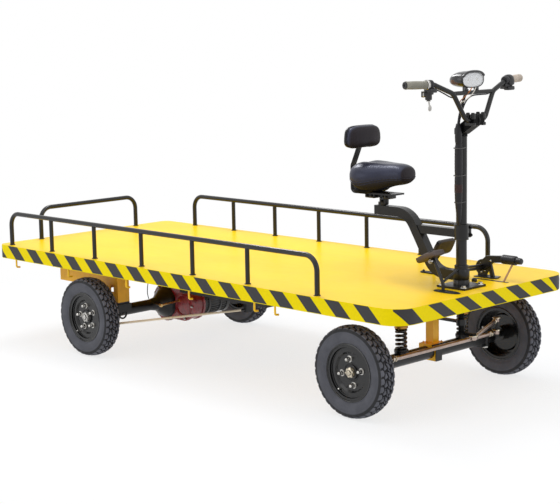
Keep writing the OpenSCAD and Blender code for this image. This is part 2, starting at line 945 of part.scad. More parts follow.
module grips() {
    color([0.42, 0.38, 0.36])
        for (s = [-1, 1])
            sleeve(s, 0.29, 1, grip_r);
}

module throttle_switch() {
    p = on_grip(-1, 0.155);
    color([0.06, 0.06, 0.065]) {
        sleeve(-1, 0.07, 0.24, 22);
        translate(p + [-6, 0, -66])
            cylinder(r = 15, h = 48);
    }
}

module switch_cluster() {
    p = on_grip(1, 0.165);
    color([0.06, 0.06, 0.065])
        difference() {
            translate(p + [-23, -13, -30])
                cube([46, 26, 60]);
            bar(on_grip(1, -0.1), on_grip(1, 0.4), bar_r + run);
        }
}

lamp_w = 160;
lamp_d = 118;
lamp_h = 76;
lens_t = 14;
lamp_x = column_x + 20;
lamp_z = clamp_z + 180;
lamp_rim = lamp_d / 2 - lens_t;

// Lamp pod seen from the front: a rounded box
module lamp_2d(inset) {
    r = 24;
    w = lamp_w - 2 * inset;
    h = lamp_h - 2 * inset;
    square([h - 2 * r, w], center = true);
    square([h, w - 2 * r], center = true);
    for (a = [-1, 1], b = [-1, 1])
        translate([a * (h / 2 - r), b * (w / 2 - r)])
            circle(r = r);
}

// Slice of the pod across X, from x0 to x1 before its middle
module lamp_slice(x0, x1, inset) {
    translate([lamp_x + x0, 0, lamp_z])
        rotate([0, 90, 0])
            linear_extrude(x1 - x0)
                lamp_2d(inset);
}

// Tail of the pod in plan and from the side, as points behind the rim
LAMP_TAIL = [[0, 1], [-0.25, 0.98], [-0.5, 0.88], [-0.7, 0.72], [-0.86, 0.5], [-0.96, 0.26], [-1, 0.1]];

module lamp_pod() {
    tail = lamp_rim + lamp_d / 2;
    plan = [for (q = LAMP_TAIL) [lamp_rim + q[0] * tail, q[1] * lamp_w / 2]];
    top = [for (q = LAMP_TAIL) [lamp_rim + q[0] * tail, q[1] * lamp_h / 2]];
    intersection() {
        lamp_slice(-lamp_d / 2, lamp_rim, 0);
        translate([lamp_x, 0, lamp_z - lamp_h])
            linear_extrude(2 * lamp_h)
                polygon(concat(plan, [for (q = reverse(plan)) [q[0], -q[1]]]));
        translate([lamp_x, 0, lamp_z])
            side_extrude(2 * lamp_w)
                polygon(concat(top, [for (q = reverse(top)) [q[0], -q[1] * 1.02 - 0.2]]));
    }
}

module lamp_shell() {
    cross_z = clamp_z + BAR[1][2];
    cross_x = clamp_x + BAR[1][0];
    color([0.08, 0.08, 0.085])
        difference() {
            union() {
                lamp_pod();
                for (s = [-1, 1])
                    translate([cross_x - 24, s * 40 - 9, cross_z - 6])
                        cube([24 + 7, 18, lamp_z - cross_z - lamp_h / 2 + 16]);
            }
            lamp_slice(lamp_rim - 30, lamp_rim + 1, 6);
            lamp_slice(lamp_rim, lamp_rim + lens_t, 0);
            bar(bar_point(1, -1), bar_point(1, 1), cross_r + run);
        }
}

module lamp_lens() {
    color([0.92, 0.94, 0.96]) {
        lamp_slice(lamp_rim, lamp_rim + lens_t - 6, 0);
        lamp_slice(lamp_rim + lens_t - 6, lamp_d / 2, 12);
    }
}

module side_markers() {
    color([0.95, 0.50, 0.06])
        difference() {
            for (s = [-1, 1])
                translate([lamp_x + 14, s * (lamp_w / 2 - 5), lamp_z])
                    rotate([90, 0, 0])
                        linear_extrude(22, center = true)
                            slot_2d(50, 24);
            lamp_pod();
        }
}

// Knuckle at the origin of its kingpin; side is -1 on the right
module knuckle(side) {
    wheel_y = front_track / 2 - kingpin_y;
    inner = wheel_y - hub_in;
    outer = wheel_y + hub_out;
    color([0.07, 0.07, 0.075])
        translate([front_x, side * kingpin_y, axle_z])
            difference() {
                union() {
                    translate([0, 0, -sleeve_h / 2])
                        cylinder(r = sleeve_r, h = sleeve_h);
                    y_cyl(front_stub_r + 5, 0, side * (inner - face_gap));
                    y_cyl(34, side * 34, side * 42);
                    y_cyl(front_stub_r, 0, side * (outer + hub_nut + 4));
                    y_cyl(front_stub_r + 8, side * (outer + face_gap), side * (outer + hub_nut));
                    translate([0, -arm_w / 2, arm_z - axle_z])
                        cube([arm_l, arm_w, arm_t]);
                    translate([arm_l, 0, arm_z - axle_z])
                        cylinder(r = eye_r, h = arm_t);
                    translate([arm_l, 0, arm_z - axle_z])
                        cylinder(r = pin_r, h = (side > 0 ? drag_z : tie_z) - arm_z + eye_t / 2 + 5);
                }
                translate([0, 0, -sleeve_h / 2 - 1])
                    cylinder(r = kingpin_r + run, h = sleeve_h + 2);
            }
}

module knuckle_right() {
    knuckle(-1);
}

module knuckle_left() {
    knuckle(1);
}

// Link with an eye at each end; the first eye runs on its pin, the second is the open one
module link(p, q, r, gap) {
    u = (q - p) / norm(q - p);
    difference() {
        union() {
            bar(p + u * (eye_r - 4), q - u * (eye_r - 4), 7);
            bar(p + u * 46, q - u * 46, r);
            for (e = [p, q])
                translate(e - [0, 0, eye_t / 2])
                    cylinder(r = eye_r, h = eye_t);
        }
        translate(p - [0, 0, eye_t])
            cylinder(r = pin_r + run, h = 2 * eye_t);
        translate(q - [0, 0, eye_t])
            cylinder(r = pin_r + gap, h = 2 * eye_t);
    }
}

module tie_rod() {
    color([0.62, 0.58, 0.52])
        link([front_x + arm_l, -kingpin_y, tie_z], [front_x + arm_l, kingpin_y, tie_z], 10.5, run);
}

module drag_link() {
    color([0.62, 0.58, 0.52])
        link([column_x + arm_l, 0, drag_z], [front_x + arm_l, kingpin_y, drag_z], 9, run);
}

// Tyre section: a round carcass with a broader crowned tread
module tyre_2d() {
    mid = tyre_d / 2 - tyre_w / 2;
    crown = tyre_w * 1.15;
    difference() {
        union() {
            translate([mid, 0])
                circle(d = tyre_w);
            intersection() {
                translate([mid, -tread_w / 2])
                    square([tyre_w / 2, tread_w]);
                translate([tyre_d / 2 - crown, 0])
                    circle(r = crown);
            }
        }
        translate([0, -tyre_w])
            square([rim_seat_r, 2 * tyre_w]);
        for (s = [-1, 1])
            translate([0, s > 0 ? rim_w / 2 - rim_t : -rim_w / 2 - tyre_w + rim_t])
                square([rim_lip_r, tyre_w]);
    }
}

// Rim in (radius, outward) with a dished disc and a hub
module rim_2d(stub_r) {
    b = rim_w / 2;
    difference() {
        union() {
            translate([rim_seat_r - rim_t, -b])
                square([rim_t, 2 * b]);
            for (s = [-1, 1])
                translate([rim_seat_r - rim_t, s > 0 ? b - rim_t : -b])
                    square([rim_lip_r - rim_seat_r + rim_t, rim_t]);
            polygon([[stub_r, 10], [hub_r + 52, 10], [hub_r + 60, 20], [rim_seat_r - 2, 20],
                [rim_seat_r - 2, 26], [hub_r + 57, 26], [hub_r + 49, 16], [stub_r, 16]]);
            translate([0, -hub_in])
                square([hub_r, hub_in + 10]);
            translate([0, 10])
                square([hub_r - 9, hub_out - 10]);
        }
        translate([-1, -hub_in - 1])
            square([stub_r + run + 1, hub_in + hub_out + 2]);
    }
}

module tyre_at(x, y) {
    color([0.06, 0.06, 0.062])
        translate([x, y, axle_z])
            y_revolve(y > 0 ? 1 : -1)
                tyre_2d();
}

module rim_at(x, y, stub_r) {
    color([0.07, 0.07, 0.075])
        translate([x, y, axle_z])
            y_revolve(y > 0 ? 1 : -1)
                rim_2d(stub_r);
}

module tyre_front_right() {
    tyre_at(front_x, -front_track / 2);
}

module rim_front_right() {
    rim_at(front_x, -front_track / 2, front_stub_r);
}

module tyre_front_left() {
    tyre_at(front_x, front_track / 2);
}

module rim_front_left() {
    rim_at(front_x, front_track / 2, front_stub_r);
}

module tyre_rear_right() {
    tyre_at(rear_x, -rear_track / 2);
}

module rim_rear_right() {
    rim_at(rear_x, -rear_track / 2, rear_stub_r);
}

module tyre_rear_left() {
    tyre_at(rear_x, rear_track / 2);
}

module rim_rear_left() {
    rim_at(rear_x, rear_track / 2, rear_stub_r);
}

deck();
hazard_stripes();
cross_members();
long_beam_right();
long_beam_left();
guard_rail_right();
guard_rail_left();
guard_rail_rear();
rope_hooks();
battery();
rear_axle();
gearbox();
motor();
rear_hangers();
brake_rod();
front_beam();
front_post();
front_springs();
spring_seats();
column();
tie_bar();
seat_tube();
seat_post();
saddle();
backrest_bracket();
backrest();
pedal_right();
pedal_left();
parking_lever();
cable_loom();
steering_stem();
handlebar();
grips();
throttle_switch();
switch_cluster();
lamp_shell();
lamp_lens();
side_markers();
knuckle_right();
knuckle_left();
tie_rod();
drag_link();
tyre_front_right();
rim_front_right();
tyre_front_left();
rim_front_left();
tyre_rear_right();
rim_rear_right();
tyre_rear_left();
rim_rear_left();
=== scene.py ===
"""Looks of an electric platform truck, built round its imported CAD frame."""

import math

import bmesh
import bpy
from bpy.props import FloatProperty, FloatVectorProperty, IntProperty, PointerProperty
from mathutils import Matrix, Vector


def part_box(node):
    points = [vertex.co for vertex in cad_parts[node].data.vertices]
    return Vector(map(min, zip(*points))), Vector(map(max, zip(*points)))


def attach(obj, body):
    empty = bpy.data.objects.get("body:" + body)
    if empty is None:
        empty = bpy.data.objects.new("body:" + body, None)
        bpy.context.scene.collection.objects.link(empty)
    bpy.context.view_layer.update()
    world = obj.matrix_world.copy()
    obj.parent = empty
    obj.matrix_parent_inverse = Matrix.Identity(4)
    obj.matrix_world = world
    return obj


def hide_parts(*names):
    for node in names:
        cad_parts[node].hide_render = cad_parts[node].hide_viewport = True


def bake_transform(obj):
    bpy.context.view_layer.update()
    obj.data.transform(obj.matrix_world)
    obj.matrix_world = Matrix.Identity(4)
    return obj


bl_info = {
    "name": "Platform truck looks",
    "version": (1, 0, 0),
    "blender": (4, 5, 0),
    "location": "View3D > Sidebar > Truck",
    "description": "Dresses the packed platform truck with finishes, tyres, cushions and fittings",
    "category": "Object",
}

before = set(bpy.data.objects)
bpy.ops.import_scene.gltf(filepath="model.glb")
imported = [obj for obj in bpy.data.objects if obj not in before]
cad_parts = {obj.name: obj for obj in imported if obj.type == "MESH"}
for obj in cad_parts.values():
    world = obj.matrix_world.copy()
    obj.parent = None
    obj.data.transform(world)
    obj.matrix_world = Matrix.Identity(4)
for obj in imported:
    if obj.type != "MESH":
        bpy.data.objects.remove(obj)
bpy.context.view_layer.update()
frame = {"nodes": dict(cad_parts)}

X, Y, Z = Vector((1, 0, 0)), Vector((0, 1, 0)), Vector((0, 0, 1))
UP = Matrix.Identity(3)


def vec(x, y, z):
    return Vector((x, y, z))


def mm(*values):
    """Profile of heights and radii, given in turn in millimetres."""
    return [(h / 1000, r / 1000) for h, r in zip(values[::2], values[1::2])]


# Places on the frame, in metres
DECK_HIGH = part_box("deck")[1]
DECK_Z = DECK_HIGH.z
COLUMN_LOW, COLUMN_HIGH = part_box("column")
COLUMN_X = (COLUMN_LOW.x + COLUMN_HIGH.x) / 2
WHEELS = ("front_right", "front_left", "rear_right", "rear_left")
# Height of the black saddles at the foot of the rear hangers
SADDLE_RISE = 0.055
CAMERA_AT = (5.5115, -5.2582, 1.7739)
CAMERA_YAW, CAMERA_PITCH, CAMERA_ROLL = 45.5634, 9.0032, -1.025
CAMERA_FOCUS = 1467.2422
FRAME_WIDTH = 560


def centre(node):
    low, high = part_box(node)
    return (low + high) / 2


def colour(r, g, b):
    """Linear colour of an sRGB one given in 0 to 255."""
    return tuple(c / 3294.6 if c <= 10 else ((c / 255 + 0.055) / 1.055) ** 2.4 for c in (r, g, b))


# ---------------------------------------------------------------- sizes and colours


def length(name, description, default):
    return FloatProperty(name=name, description=description, default=default, unit="LENGTH",
                         subtype="DISTANCE", precision=4)


def tint(name, description, default):
    return FloatVectorProperty(name=name, description=description, default=colour(*default), subtype="COLOR", size=3,
                               min=0, max=1)


class TruckSizes(bpy.types.PropertyGroup):
    """Sizes of the dressed pieces"""
    tread_depth: length("Tread depth", "Depth of the grooves between the tread blocks", 0.0090)
    tread_pitches: IntProperty(name="Tread pitches", description="Blocks round one tyre", default=34, min=12)
    nut_across: length("Wheel nut", "Width of a wheel nut across its flats", 0.021)
    bolt_across: length("Frame bolt", "Width of a frame bolt across its flats", 0.017)
    saddle_swell: length("Saddle swell", "Most that the saddle's skin moves when it fills", 0.006)
    rest_swell: length("Backrest swell", "Most that the backrest's skin moves when it fills", 0.009)
    seam: length("Seam cord", "Radius of the cord sewn into the cushions' seams", 0.0022)
    wire: length("Wire", "Radius of a lamp wire", 0.0021)
    cable: length("Cable", "Radius of a control cable", 0.0030)


class TruckColours(bpy.types.PropertyGroup):
    """Colours of the finishes"""
    deck: tint("Deck", "Gloss paint on the deck", (246, 202, 2))
    tape: tint("Tape", "Light stripes of the hazard tape", (255, 231, 0))
    stripe: tint("Stripe", "Dark stripes of the hazard tape", (42, 41, 43))
    frame: tint("Frame", "Paint of the underframe", (246, 188, 28))
    black: tint("Black", "Paint of the tubes and the column", (15, 15, 16))
    gear: tint("Gear case", "Paint of the gear case", (142, 18, 28))
    rubber: tint("Rubber", "Tyre rubber", (76, 77, 84))
    leather: tint("Leather", "Saddle and backrest", (42, 43, 56))
    # Painted shade: the darker brown that the leather is given where it faces forward or down
    leather_shade: tint("Brown", "Leather on what faces forward", (34, 26, 21))
    grip: tint("Grip", "Handlebar grips", (132, 130, 120))
    steel: tint("Steel", "Zinc plated steel", (190, 188, 184))
    bronze: tint("Bronze", "Spring seats", (176, 128, 58))
    amber: tint("Amber", "Side markers of the lamp", (96, 58, 16))


# ---------------------------------------------------------------- finishes


class Val:
    """A shader value; arithmetic on it adds Math nodes."""

    def __init__(self, finish, socket):
        self.finish, self.socket = finish, socket

    def math(self, operation, *values):
        return self.finish.node("ShaderNodeMath", {"operation": operation}, dict(enumerate(values)))

    def __rsub__(self, other):
        return self.math("SUBTRACT", other, self)

    def __abs__(self):
        return self.math("ABSOLUTE", self)


def two_sided(operation):
    return lambda self, other: self.math(operation, self, other)


for method, operation in (("add", "ADD"), ("radd", "ADD"), ("sub", "SUBTRACT"), ("mul", "MULTIPLY"),
                          ("rmul", "MULTIPLY"), ("truediv", "DIVIDE"), ("pow", "POWER"), ("gt", "GREATER_THAN"),
                          ("lt", "LESS_THAN")):
    setattr(Val, f"__{method}__", two_sided(operation))


class Finish:
    """A node material with one Principled shader."""

    def __init__(self, name, constants):
        self.material = bpy.data.materials.new(name)
        self.material.use_nodes = True
        self.tree = self.material.node_tree
        self.shader = next(n for n in self.tree.nodes if n.type == "BSDF_PRINCIPLED")
        for socket, value in constants.items():
            self.shader.inputs[socket].default_value = value

    def node(self, kind, settings=(), values=(), out=0):
        made = self.tree.nodes.new(kind)
        for key, value in dict(settings).items():
            setattr(made, key, value)
        for key, value in dict(values).items():
            if isinstance(value, Val):
                self.tree.links.new(value.socket, made.inputs[key])
            else:
                made.inputs[key].default_value = value
        return Val(self, made.outputs[out])

    def feed(self, socket, value):
        self.tree.links.new(value.socket, self.shader.inputs[socket])

    def place(self):
        return self.node("ShaderNodeTexCoord", out="Object")

    def axis(self, name):
        return self.node("ShaderNodeSeparateXYZ", (), {0: self.place()}, name)

    def facing(self, name):
        normal = self.node("ShaderNodeNewGeometry", (), (), "Normal")
        return self.node("ShaderNodeSeparateXYZ", (), {0: normal}, name)

    def stretched(self, scale):
        return self.node("ShaderNodeVectorMath", {"operation": "MULTIPLY"}, {0: self.place(), 1: scale})

    def noise(self, scale, detail=3.0, stretch=(1, 1, 1)):
        return self.node("ShaderNodeTexNoise", (),
                         {"Vector": self.stretched(stretch), "Scale": scale, "Detail": detail, "Roughness": 0.55},
                         "Fac")

    def cells(self, scale):
        return self.node("ShaderNodeTexVoronoi", (), {"Vector": self.place(), "Scale": scale}, "Distance")

    def step(self, value, low, high):
        """0 below low and 1 above high, smooth between."""
        return self.node("ShaderNodeMapRange", {"interpolation_type": "SMOOTHSTEP"},
                         {0: value, 1: low, 2: high, 3: 0.0, 4: 1.0})

    def mix(self, factor, first, second):
        first, second = (c if isinstance(c, Val) else (*c, 1) for c in (first, second))
        return self.node("ShaderNodeMix", {"data_type": "RGBA"}, {0: factor, 6: first, 7: second}, 2)

    def bump(self, height, strength, distance):
        self.feed("Normal", self.node("ShaderNodeBump", (),
                                      {"Height": height, "Strength": strength, "Distance": distance}))


def shade(base, factor):
    return tuple(c * factor for c in base)


def painted(name, base, roughness=0.3, coat=0.4, mottle=0.12, peel=0.02, dust=None, shine=0.3):
    """Sprayed paint: faint mottling, orange peel and, where named, dust on what faces up."""
    f = Finish(name, {"Coat Weight": coat, "Coat Roughness": 0.08, "IOR": 1.5, "Specular IOR Level": shine})
    cloud = f.step(f.noise(5.0, 4), 0.3, 0.7)
    skin = f.mix(cloud, shade(base, 1 - mottle), shade(base, 1 + mottle))
    if dust:
        up = f.step(f.facing("Z"), 0.2, 0.9) * f.step(f.noise(38.0, 5), 0.35, 0.75)
        skin = f.mix(up * 0.3, skin, dust)
    f.feed("Base Color", skin)
    f.feed("Roughness", roughness + (f.noise(60.0, 3) - 0.5) * 0.16)
    f.bump(f.noise(420.0, 2), peel * 4, 0.0006)
    return f.material


def deck_paint(c):
    """Gloss yellow on top, lighter tape yellow on the skirt and frame yellow below."""
    f = Finish("deck_paint", {"Specular IOR Level": 0.1, "IOR": 1.5})
    wave = f.step(f.noise(1.4, 3, (1, 2.2, 1)), 0.3, 0.72)
    top = f.mix(wave, shade(c.deck, 0.93), shade(c.deck, 1.05))
    scuff = f.step(f.noise(9.0, 6, (0.35, 1.6, 1)), 0.58, 0.78)
    top = f.mix(scuff * 0.16, top, shade(c.deck, 0.72))
    film = f.step(f.noise(90.0, 3), 0.35, 0.7)
    side = f.mix(film, shade(c.tape, 0.95), c.tape)
    under = f.mix(f.step(f.noise(12.0, 5), 0.35, 0.7), shade(c.frame, 0.8), c.frame)
    nz = f.facing("Z")
    f.feed("Base Color", f.mix(nz > 0.5, f.mix(nz < -0.5, side, under), top))
    f.feed("Roughness", 0.30 + f.noise(26.0, 4) * 0.1 + (nz < 0.5) * 0.12)
    f.bump(f.noise(3.2, 2, (1, 1.6, 1)) * 0.8 + f.noise(300.0, 2) * 0.06, 0.10, 0.01)
    return f.material


def stripe_tape(c):
    f = Finish("stripe_tape", {"IOR": 1.45})
    wear = f.step(f.noise(55.0, 6), 0.62, 0.8)
    f.feed("Base Color", f.mix(wear * 0.35, c.stripe, shade(c.stripe, 1.8)))
    f.feed("Roughness", 0.42 + f.noise(30.0, 3) * 0.15)
    f.bump(f.noise(500.0, 2), 0.05, 0.0005)
    return f.material


def two_tone(name, axis, split, below, above, metal=0.0):
    """Paint of one colour below a plane across the axis and another beyond it."""
    f = Finish(name, {"Coat Weight": 0.15, "Coat Roughness": 0.1, "IOR": 1.5, "Specular IOR Level": 0.3})
    cloud = f.step(f.noise(7.0, 4), 0.3, 0.7)
    past = f.axis(axis) > split
    f.feed("Base Color", f.mix(past, *(f.mix(cloud, shade(c, 0.86), shade(c, 1.12)) for c in (below, above))))
    f.feed("Roughness", 0.34 + (f.noise(60.0, 3) - 0.5) * 0.16)
    f.bump(f.noise(420.0, 2), 0.12, 0.0006)
    if metal:
        f.feed("Metallic", past * metal)
    return f.material


def cast(name, base, roughness, coat, grain=170.0, rough_cast=0.5):
    """Rough casting under paint: pits and soft lumps."""
    f = Finish(name, {"Coat Weight": coat, "Coat Roughness": 0.15, "IOR": 1.5})
    lump = f.noise(grain * 0.22, 3)
    pit = f.noise(grain, 4)
    f.feed("Base Color", f.mix(f.step(lump, 0.35, 0.7), shade(base, 0.7), shade(base, 1.15)))
    f.feed("Roughness", roughness + (pit - 0.5) * 0.3)
    f.bump(lump * 1.5 + pit * 0.5, rough_cast, 0.003)
    return f.material


def plated(name, base, roughness=0.28, brushed=(1, 1, 1)):
    """Zinc plate with spangle and fine drawing lines."""
    f = Finish(name, {"Metallic": 1.0, "Coat Weight": 0.05})
    spangle = f.noise(55.0, 4)
    line = f.noise(900.0, 2, brushed)
    f.feed("Base Color", f.mix(f.step(spangle, 0.3, 0.75), shade(base, 0.72), base))
    f.feed("Roughness", roughness + (spangle - 0.5) * 0.2)
    f.bump(line, 0.08, 0.0003)
    return f.material


def rubber(name, base, roughness=0.72, dusty=0.35, grain=260.0, shine=0.35):
    """Rubber with a dry bloom in patches."""
    f = Finish(name, {"Specular IOR Level": shine})
    bloom = f.step(f.noise(16.0, 5), 0.38, 0.72)
    f.feed("Base Color", f.mix(bloom * dusty, base, shade(base, 2.1)))
    f.feed("Roughness", roughness - bloom * 0.12)
    f.bump(f.noise(grain, 3), 0.18, 0.0006)
    return f.material


def tyre_rubber(c):
    """Rubber by its depth below the crown: block tops lighter for wear and painted light, grooves darkened as painted
    shade, fine rings on the walls.
    """
    f = Finish("tyre_rubber", {"Specular IOR Level": 0.35})
    x, y, z = (f.axis(a) for a in "XYZ")
    fore, aft = centre("tyre_front_right"), centre("tyre_rear_right")
    front = x > (fore.x + aft.x) / 2
    dx = x - (front * (fore.x - aft.x) + aft.x)
    dy = abs(y) + (front * (fore.y - aft.y) + aft.y)
    dz = z - fore.z
    r = (dx * dx + dz * dz) ** 0.5
    low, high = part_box("tyre_front_right")
    deep = (high.z - low.z) / 2 - dy * dy / (2 * CROWN_BEND) - r
    tread = f.step(r, *TREAD_FROM)
    bloom = f.step(f.noise(16.0, 5), 0.38, 0.72)
    wall = f.mix(bloom * 0.3, c.rubber, shade(c.rubber, 1.7))
    # Block tops lighter than the walls: wear and painted light together
    top = f.mix(bloom * 0.5, shade(c.rubber, 1.35), shade(c.rubber, 2.2))
    # Painted shade: the grooves are darkened by their depth below the crown
    block = f.mix(f.step(deep, 0.0012, 0.0050), top, shade(c.rubber, 0.16))
    f.feed("Base Color", f.mix(tread, wall, block))
    f.feed("Roughness", 0.66 - bloom * 0.12)
    rings = r.math("SINE", r * WALL_RINGS) * (1 - tread) * 0.5
    f.bump(f.noise(260.0, 3) * 0.6 + rings, 0.16, 0.0007)
    return f.material


def leather_skin(c):
    """Blue-black leather with pebbled grain and creases; painted shade makes it brown and darker where it faces
    forward, darker still where it faces down.
    """
    f = Finish("leather_skin",
               {"Coat Weight": 0.0, "IOR": 1.48, "Specular IOR Level": 0.38, "Specular Tint": (0.68, 0.74, 1, 1)})
    pebble = f.cells(520.0)
    crease = f.step(f.noise(46.0, 6, (1, 1.6, 1)), 0.5, 0.56)
    tone = f.step(f.noise(8.0, 4), 0.3, 0.7)
    skin = f.mix(tone, shade(c.leather, 0.8), shade(c.leather, 1.2))
    # Painted shade: faces that point forward get the darker brown
    front = f.step(f.facing("X"), 0.45, 0.85)
    skin = f.mix(front, skin, shade(c.leather_shade, 0.9))
    # Painted shade: faces that point down get a much darker brown
    f.feed("Base Color", f.mix(f.step(f.facing("Z"), -0.85, -0.3), shade(c.leather_shade, 0.4), skin))
    f.feed("Roughness", 0.22 + tone * 0.1 + pebble * 0.1 + front * 0.25 + f.step(0 - f.facing("Z"), 0.0, 0.6) * 0.5)
    f.bump(pebble * 0.7 - crease * 0.25, 0.16, 0.0007)
    return f.material


def moulded(name, base, roughness=0.45, coat=0.0):
    """Moulded plastic with a fine spark-eroded grain."""
    f = Finish(name, {"Coat Weight": coat, "Coat Roughness": 0.1, "IOR": 1.46})
    f.feed("Base Color", f.mix(f.step(f.noise(14.0, 4), 0.3, 0.7), shade(base, 0.85), shade(base, 1.15)))
    f.feed("Roughness", roughness + (f.noise(130.0, 2) - 0.5) * 0.15)
    f.bump(f.noise(900.0, 2), 0.12, 0.0003)
    return f.material


def clear_lens():
    """Clear cover glass with a faint moulded ripple."""
    f = Finish("clear_lens", {"Base Color": (0.93, 0.95, 0.97, 1), "Roughness": 0.04, "IOR": 1.49, "Coat Weight": 0.3,
                              "Alpha": 0.16})
    f.bump(f.noise(70.0, 2), 0.08, 0.002)
    return f.material


def amber_lens(c):
    f = Finish("amber_lens", {"Coat Weight": 0.25, "Specular IOR Level": 0.3, "Coat Roughness": 0.03, "IOR": 1.49})
    prism = f.cells(190.0)
    f.feed("Base Color", f.mix(f.step(prism, 0.1, 0.7), shade(c.amber, 1.5), shade(c.amber, 0.55)))
    f.feed("Roughness", 0.14 + prism * 0.1)
    f.bump(prism, 0.25, 0.001)
    return f.material


class Finishes:
    """All finishes, made once from the scene's colours."""

    def __init__(self, c):
        self.deck = deck_paint(c)
        self.stripe = stripe_tape(c)
        self.frame = painted("frame_paint", c.frame, 0.34, 0.2, 0.14, 0.03, colour(196, 150, 70))
        self.rail = painted("rail_paint", c.black, 0.24, 0.3, 0.2)
        self.black = painted("black_paint", shade(c.black, 1.1), 0.32, 0.12, 0.25, 0.04, colour(46, 43, 41))
        self.axle = painted("axle_paint", shade(c.black, 1.0), 0.36, 0.1, 0.3, 0.05, colour(70, 58, 46))
        self.hanger = two_tone("hanger_paint", "Z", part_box("rear_hangers")[0].z + SADDLE_RISE, c.black, c.frame)
        self.post = two_tone("post_paint", "X", centre("rim_front_right").x + 0.036, c.frame, c.black)
        self.gear = cast("gear_case_paint", c.gear, 0.3, 0.5)
        self.motor = cast("motor_shell", shade(c.black, 1.2), 0.36, 0.1, 260.0, 0.25)
        self.battery = moulded("battery_case", shade(c.black, 1.2), 0.5)
        self.bronze = two_tone("bronze_seat", "Z", centre("front_springs").z, c.black, c.bronze, 0.8)
        self.steel = plated("zinc_plate", c.steel, 0.26)
        self.nut = plated("bright_nut", shade(c.steel, 1.25), 0.2)
        self.nut_gold = plated("passivated_nut", colour(206, 196, 176), 0.26)
        self.rod = plated("drawn_rod", colour(186, 168, 158), 0.32, (1, 0.05, 1))
        self.rim = painted("rim_paint", shade(c.black, 1.15), 0.22, 0.35, 0.2, 0.02)
        self.cream = two_tone("rod_paint", "X", -0.120, colour(240, 226, 200), c.black)
        self.hook = painted("hook_paint", colour(255, 206, 30), 0.4, 0.1, 0.1, 0.03)
        self.brass = plated("brass_rod", colour(206, 172, 112), 0.3)
        self.band = moulded("tie_band", colour(76, 75, 76), 0.45)
        self.tape = rubber("red_tape", colour(48, 27, 28), 0.5, 0.2, 420.0)
        self.tyre = tyre_rubber(c)
        self.loom = rubber("loom_wrap", colour(14, 13, 18), 0.5, 0.2, 420.0)
        self.grip = rubber("grip_rubber", c.grip, 0.5, 0.25, 600.0)
        self.pale_grip = rubber("pale_grip", colour(176, 164, 152), 0.5, 0.3, 600.0)
        self.pad = rubber("pedal_rubber", colour(80, 70, 68), 0.6, 0.25, 500.0)
        self.left_pad = rubber("left_pedal_rubber", colour(50, 44, 41), 0.6, 0.2, 500.0)
        self.foot = rubber("foot_rubber", colour(13, 12, 13), 0.85, 0.1, 500.0, 0.12)
        self.leather = leather_skin(c)
        self.control = moulded("control_plastic", colour(22, 22, 26), 0.4)
        self.gloss = moulded("lamp_plastic", colour(17, 16, 18), 0.22, 0.35)
        self.lens = clear_lens()
        self.amber = amber_lens(c)
        # Painted reflection: the chrome reflector dish gets near-white paint for the bright surroundings it mirrors
        self.mirror = painted("lamp_reflector", colour(238, 239, 241), 0.28, 0.3, 0.05, 0.01, shine=0.5)
        self.orange_wire = moulded("orange_wire", colour(198, 122, 60), 0.4)
        self.white_wire = moulded("white_wire", colour(226, 222, 212), 0.4)
        self.pull = painted("pull_rod_paint", colour(178, 142, 112), 0.4, 0.1, 0.1)
        self.stem = painted("stem_paint", shade(c.black, 0.9), 0.5, 0.0, 0.25, 0.04, shine=0.08)


made = {}


def finishes():
    if "all" not in made:
        made["all"] = Finishes(bpy.context.scene.truck_colours)
    return made["all"]


# ---------------------------------------------------------------- shapes


def towards(axis):
    """Rotation that takes Z to the axis."""
    return Z.rotation_difference(Vector(axis)).to_matrix()


def flowing(points, steps=8):
    """Smooth path through all points."""
    p = [Vector(q) for q in points]
    p = [2 * p[0] - p[1], *p, 2 * p[-1] - p[-2]]
    out = []
    for a, b, c, d in zip(p, p[1:], p[2:], p[3:]):
        for i in range(steps):
            t = i / steps
            out.append(0.5 * (2 * b + (c - a) * t + (2 * a - 5 * b + 4 * c - d) * t ** 2
                              + (3 * b - a - 3 * c + d) * t ** 3))
    return out + [p[-2]]


def arc(middle, radius, start, end, steps, u=X, v=Z):
    """Points on a circle in the plane of u and v, angles in degrees."""
    angles = [math.radians(start + (end - start) * i / steps) for i in range(steps + 1)]
    return [Vector(middle) + (u * math.cos(a) + v * math.sin(a)) * radius for a in angles]


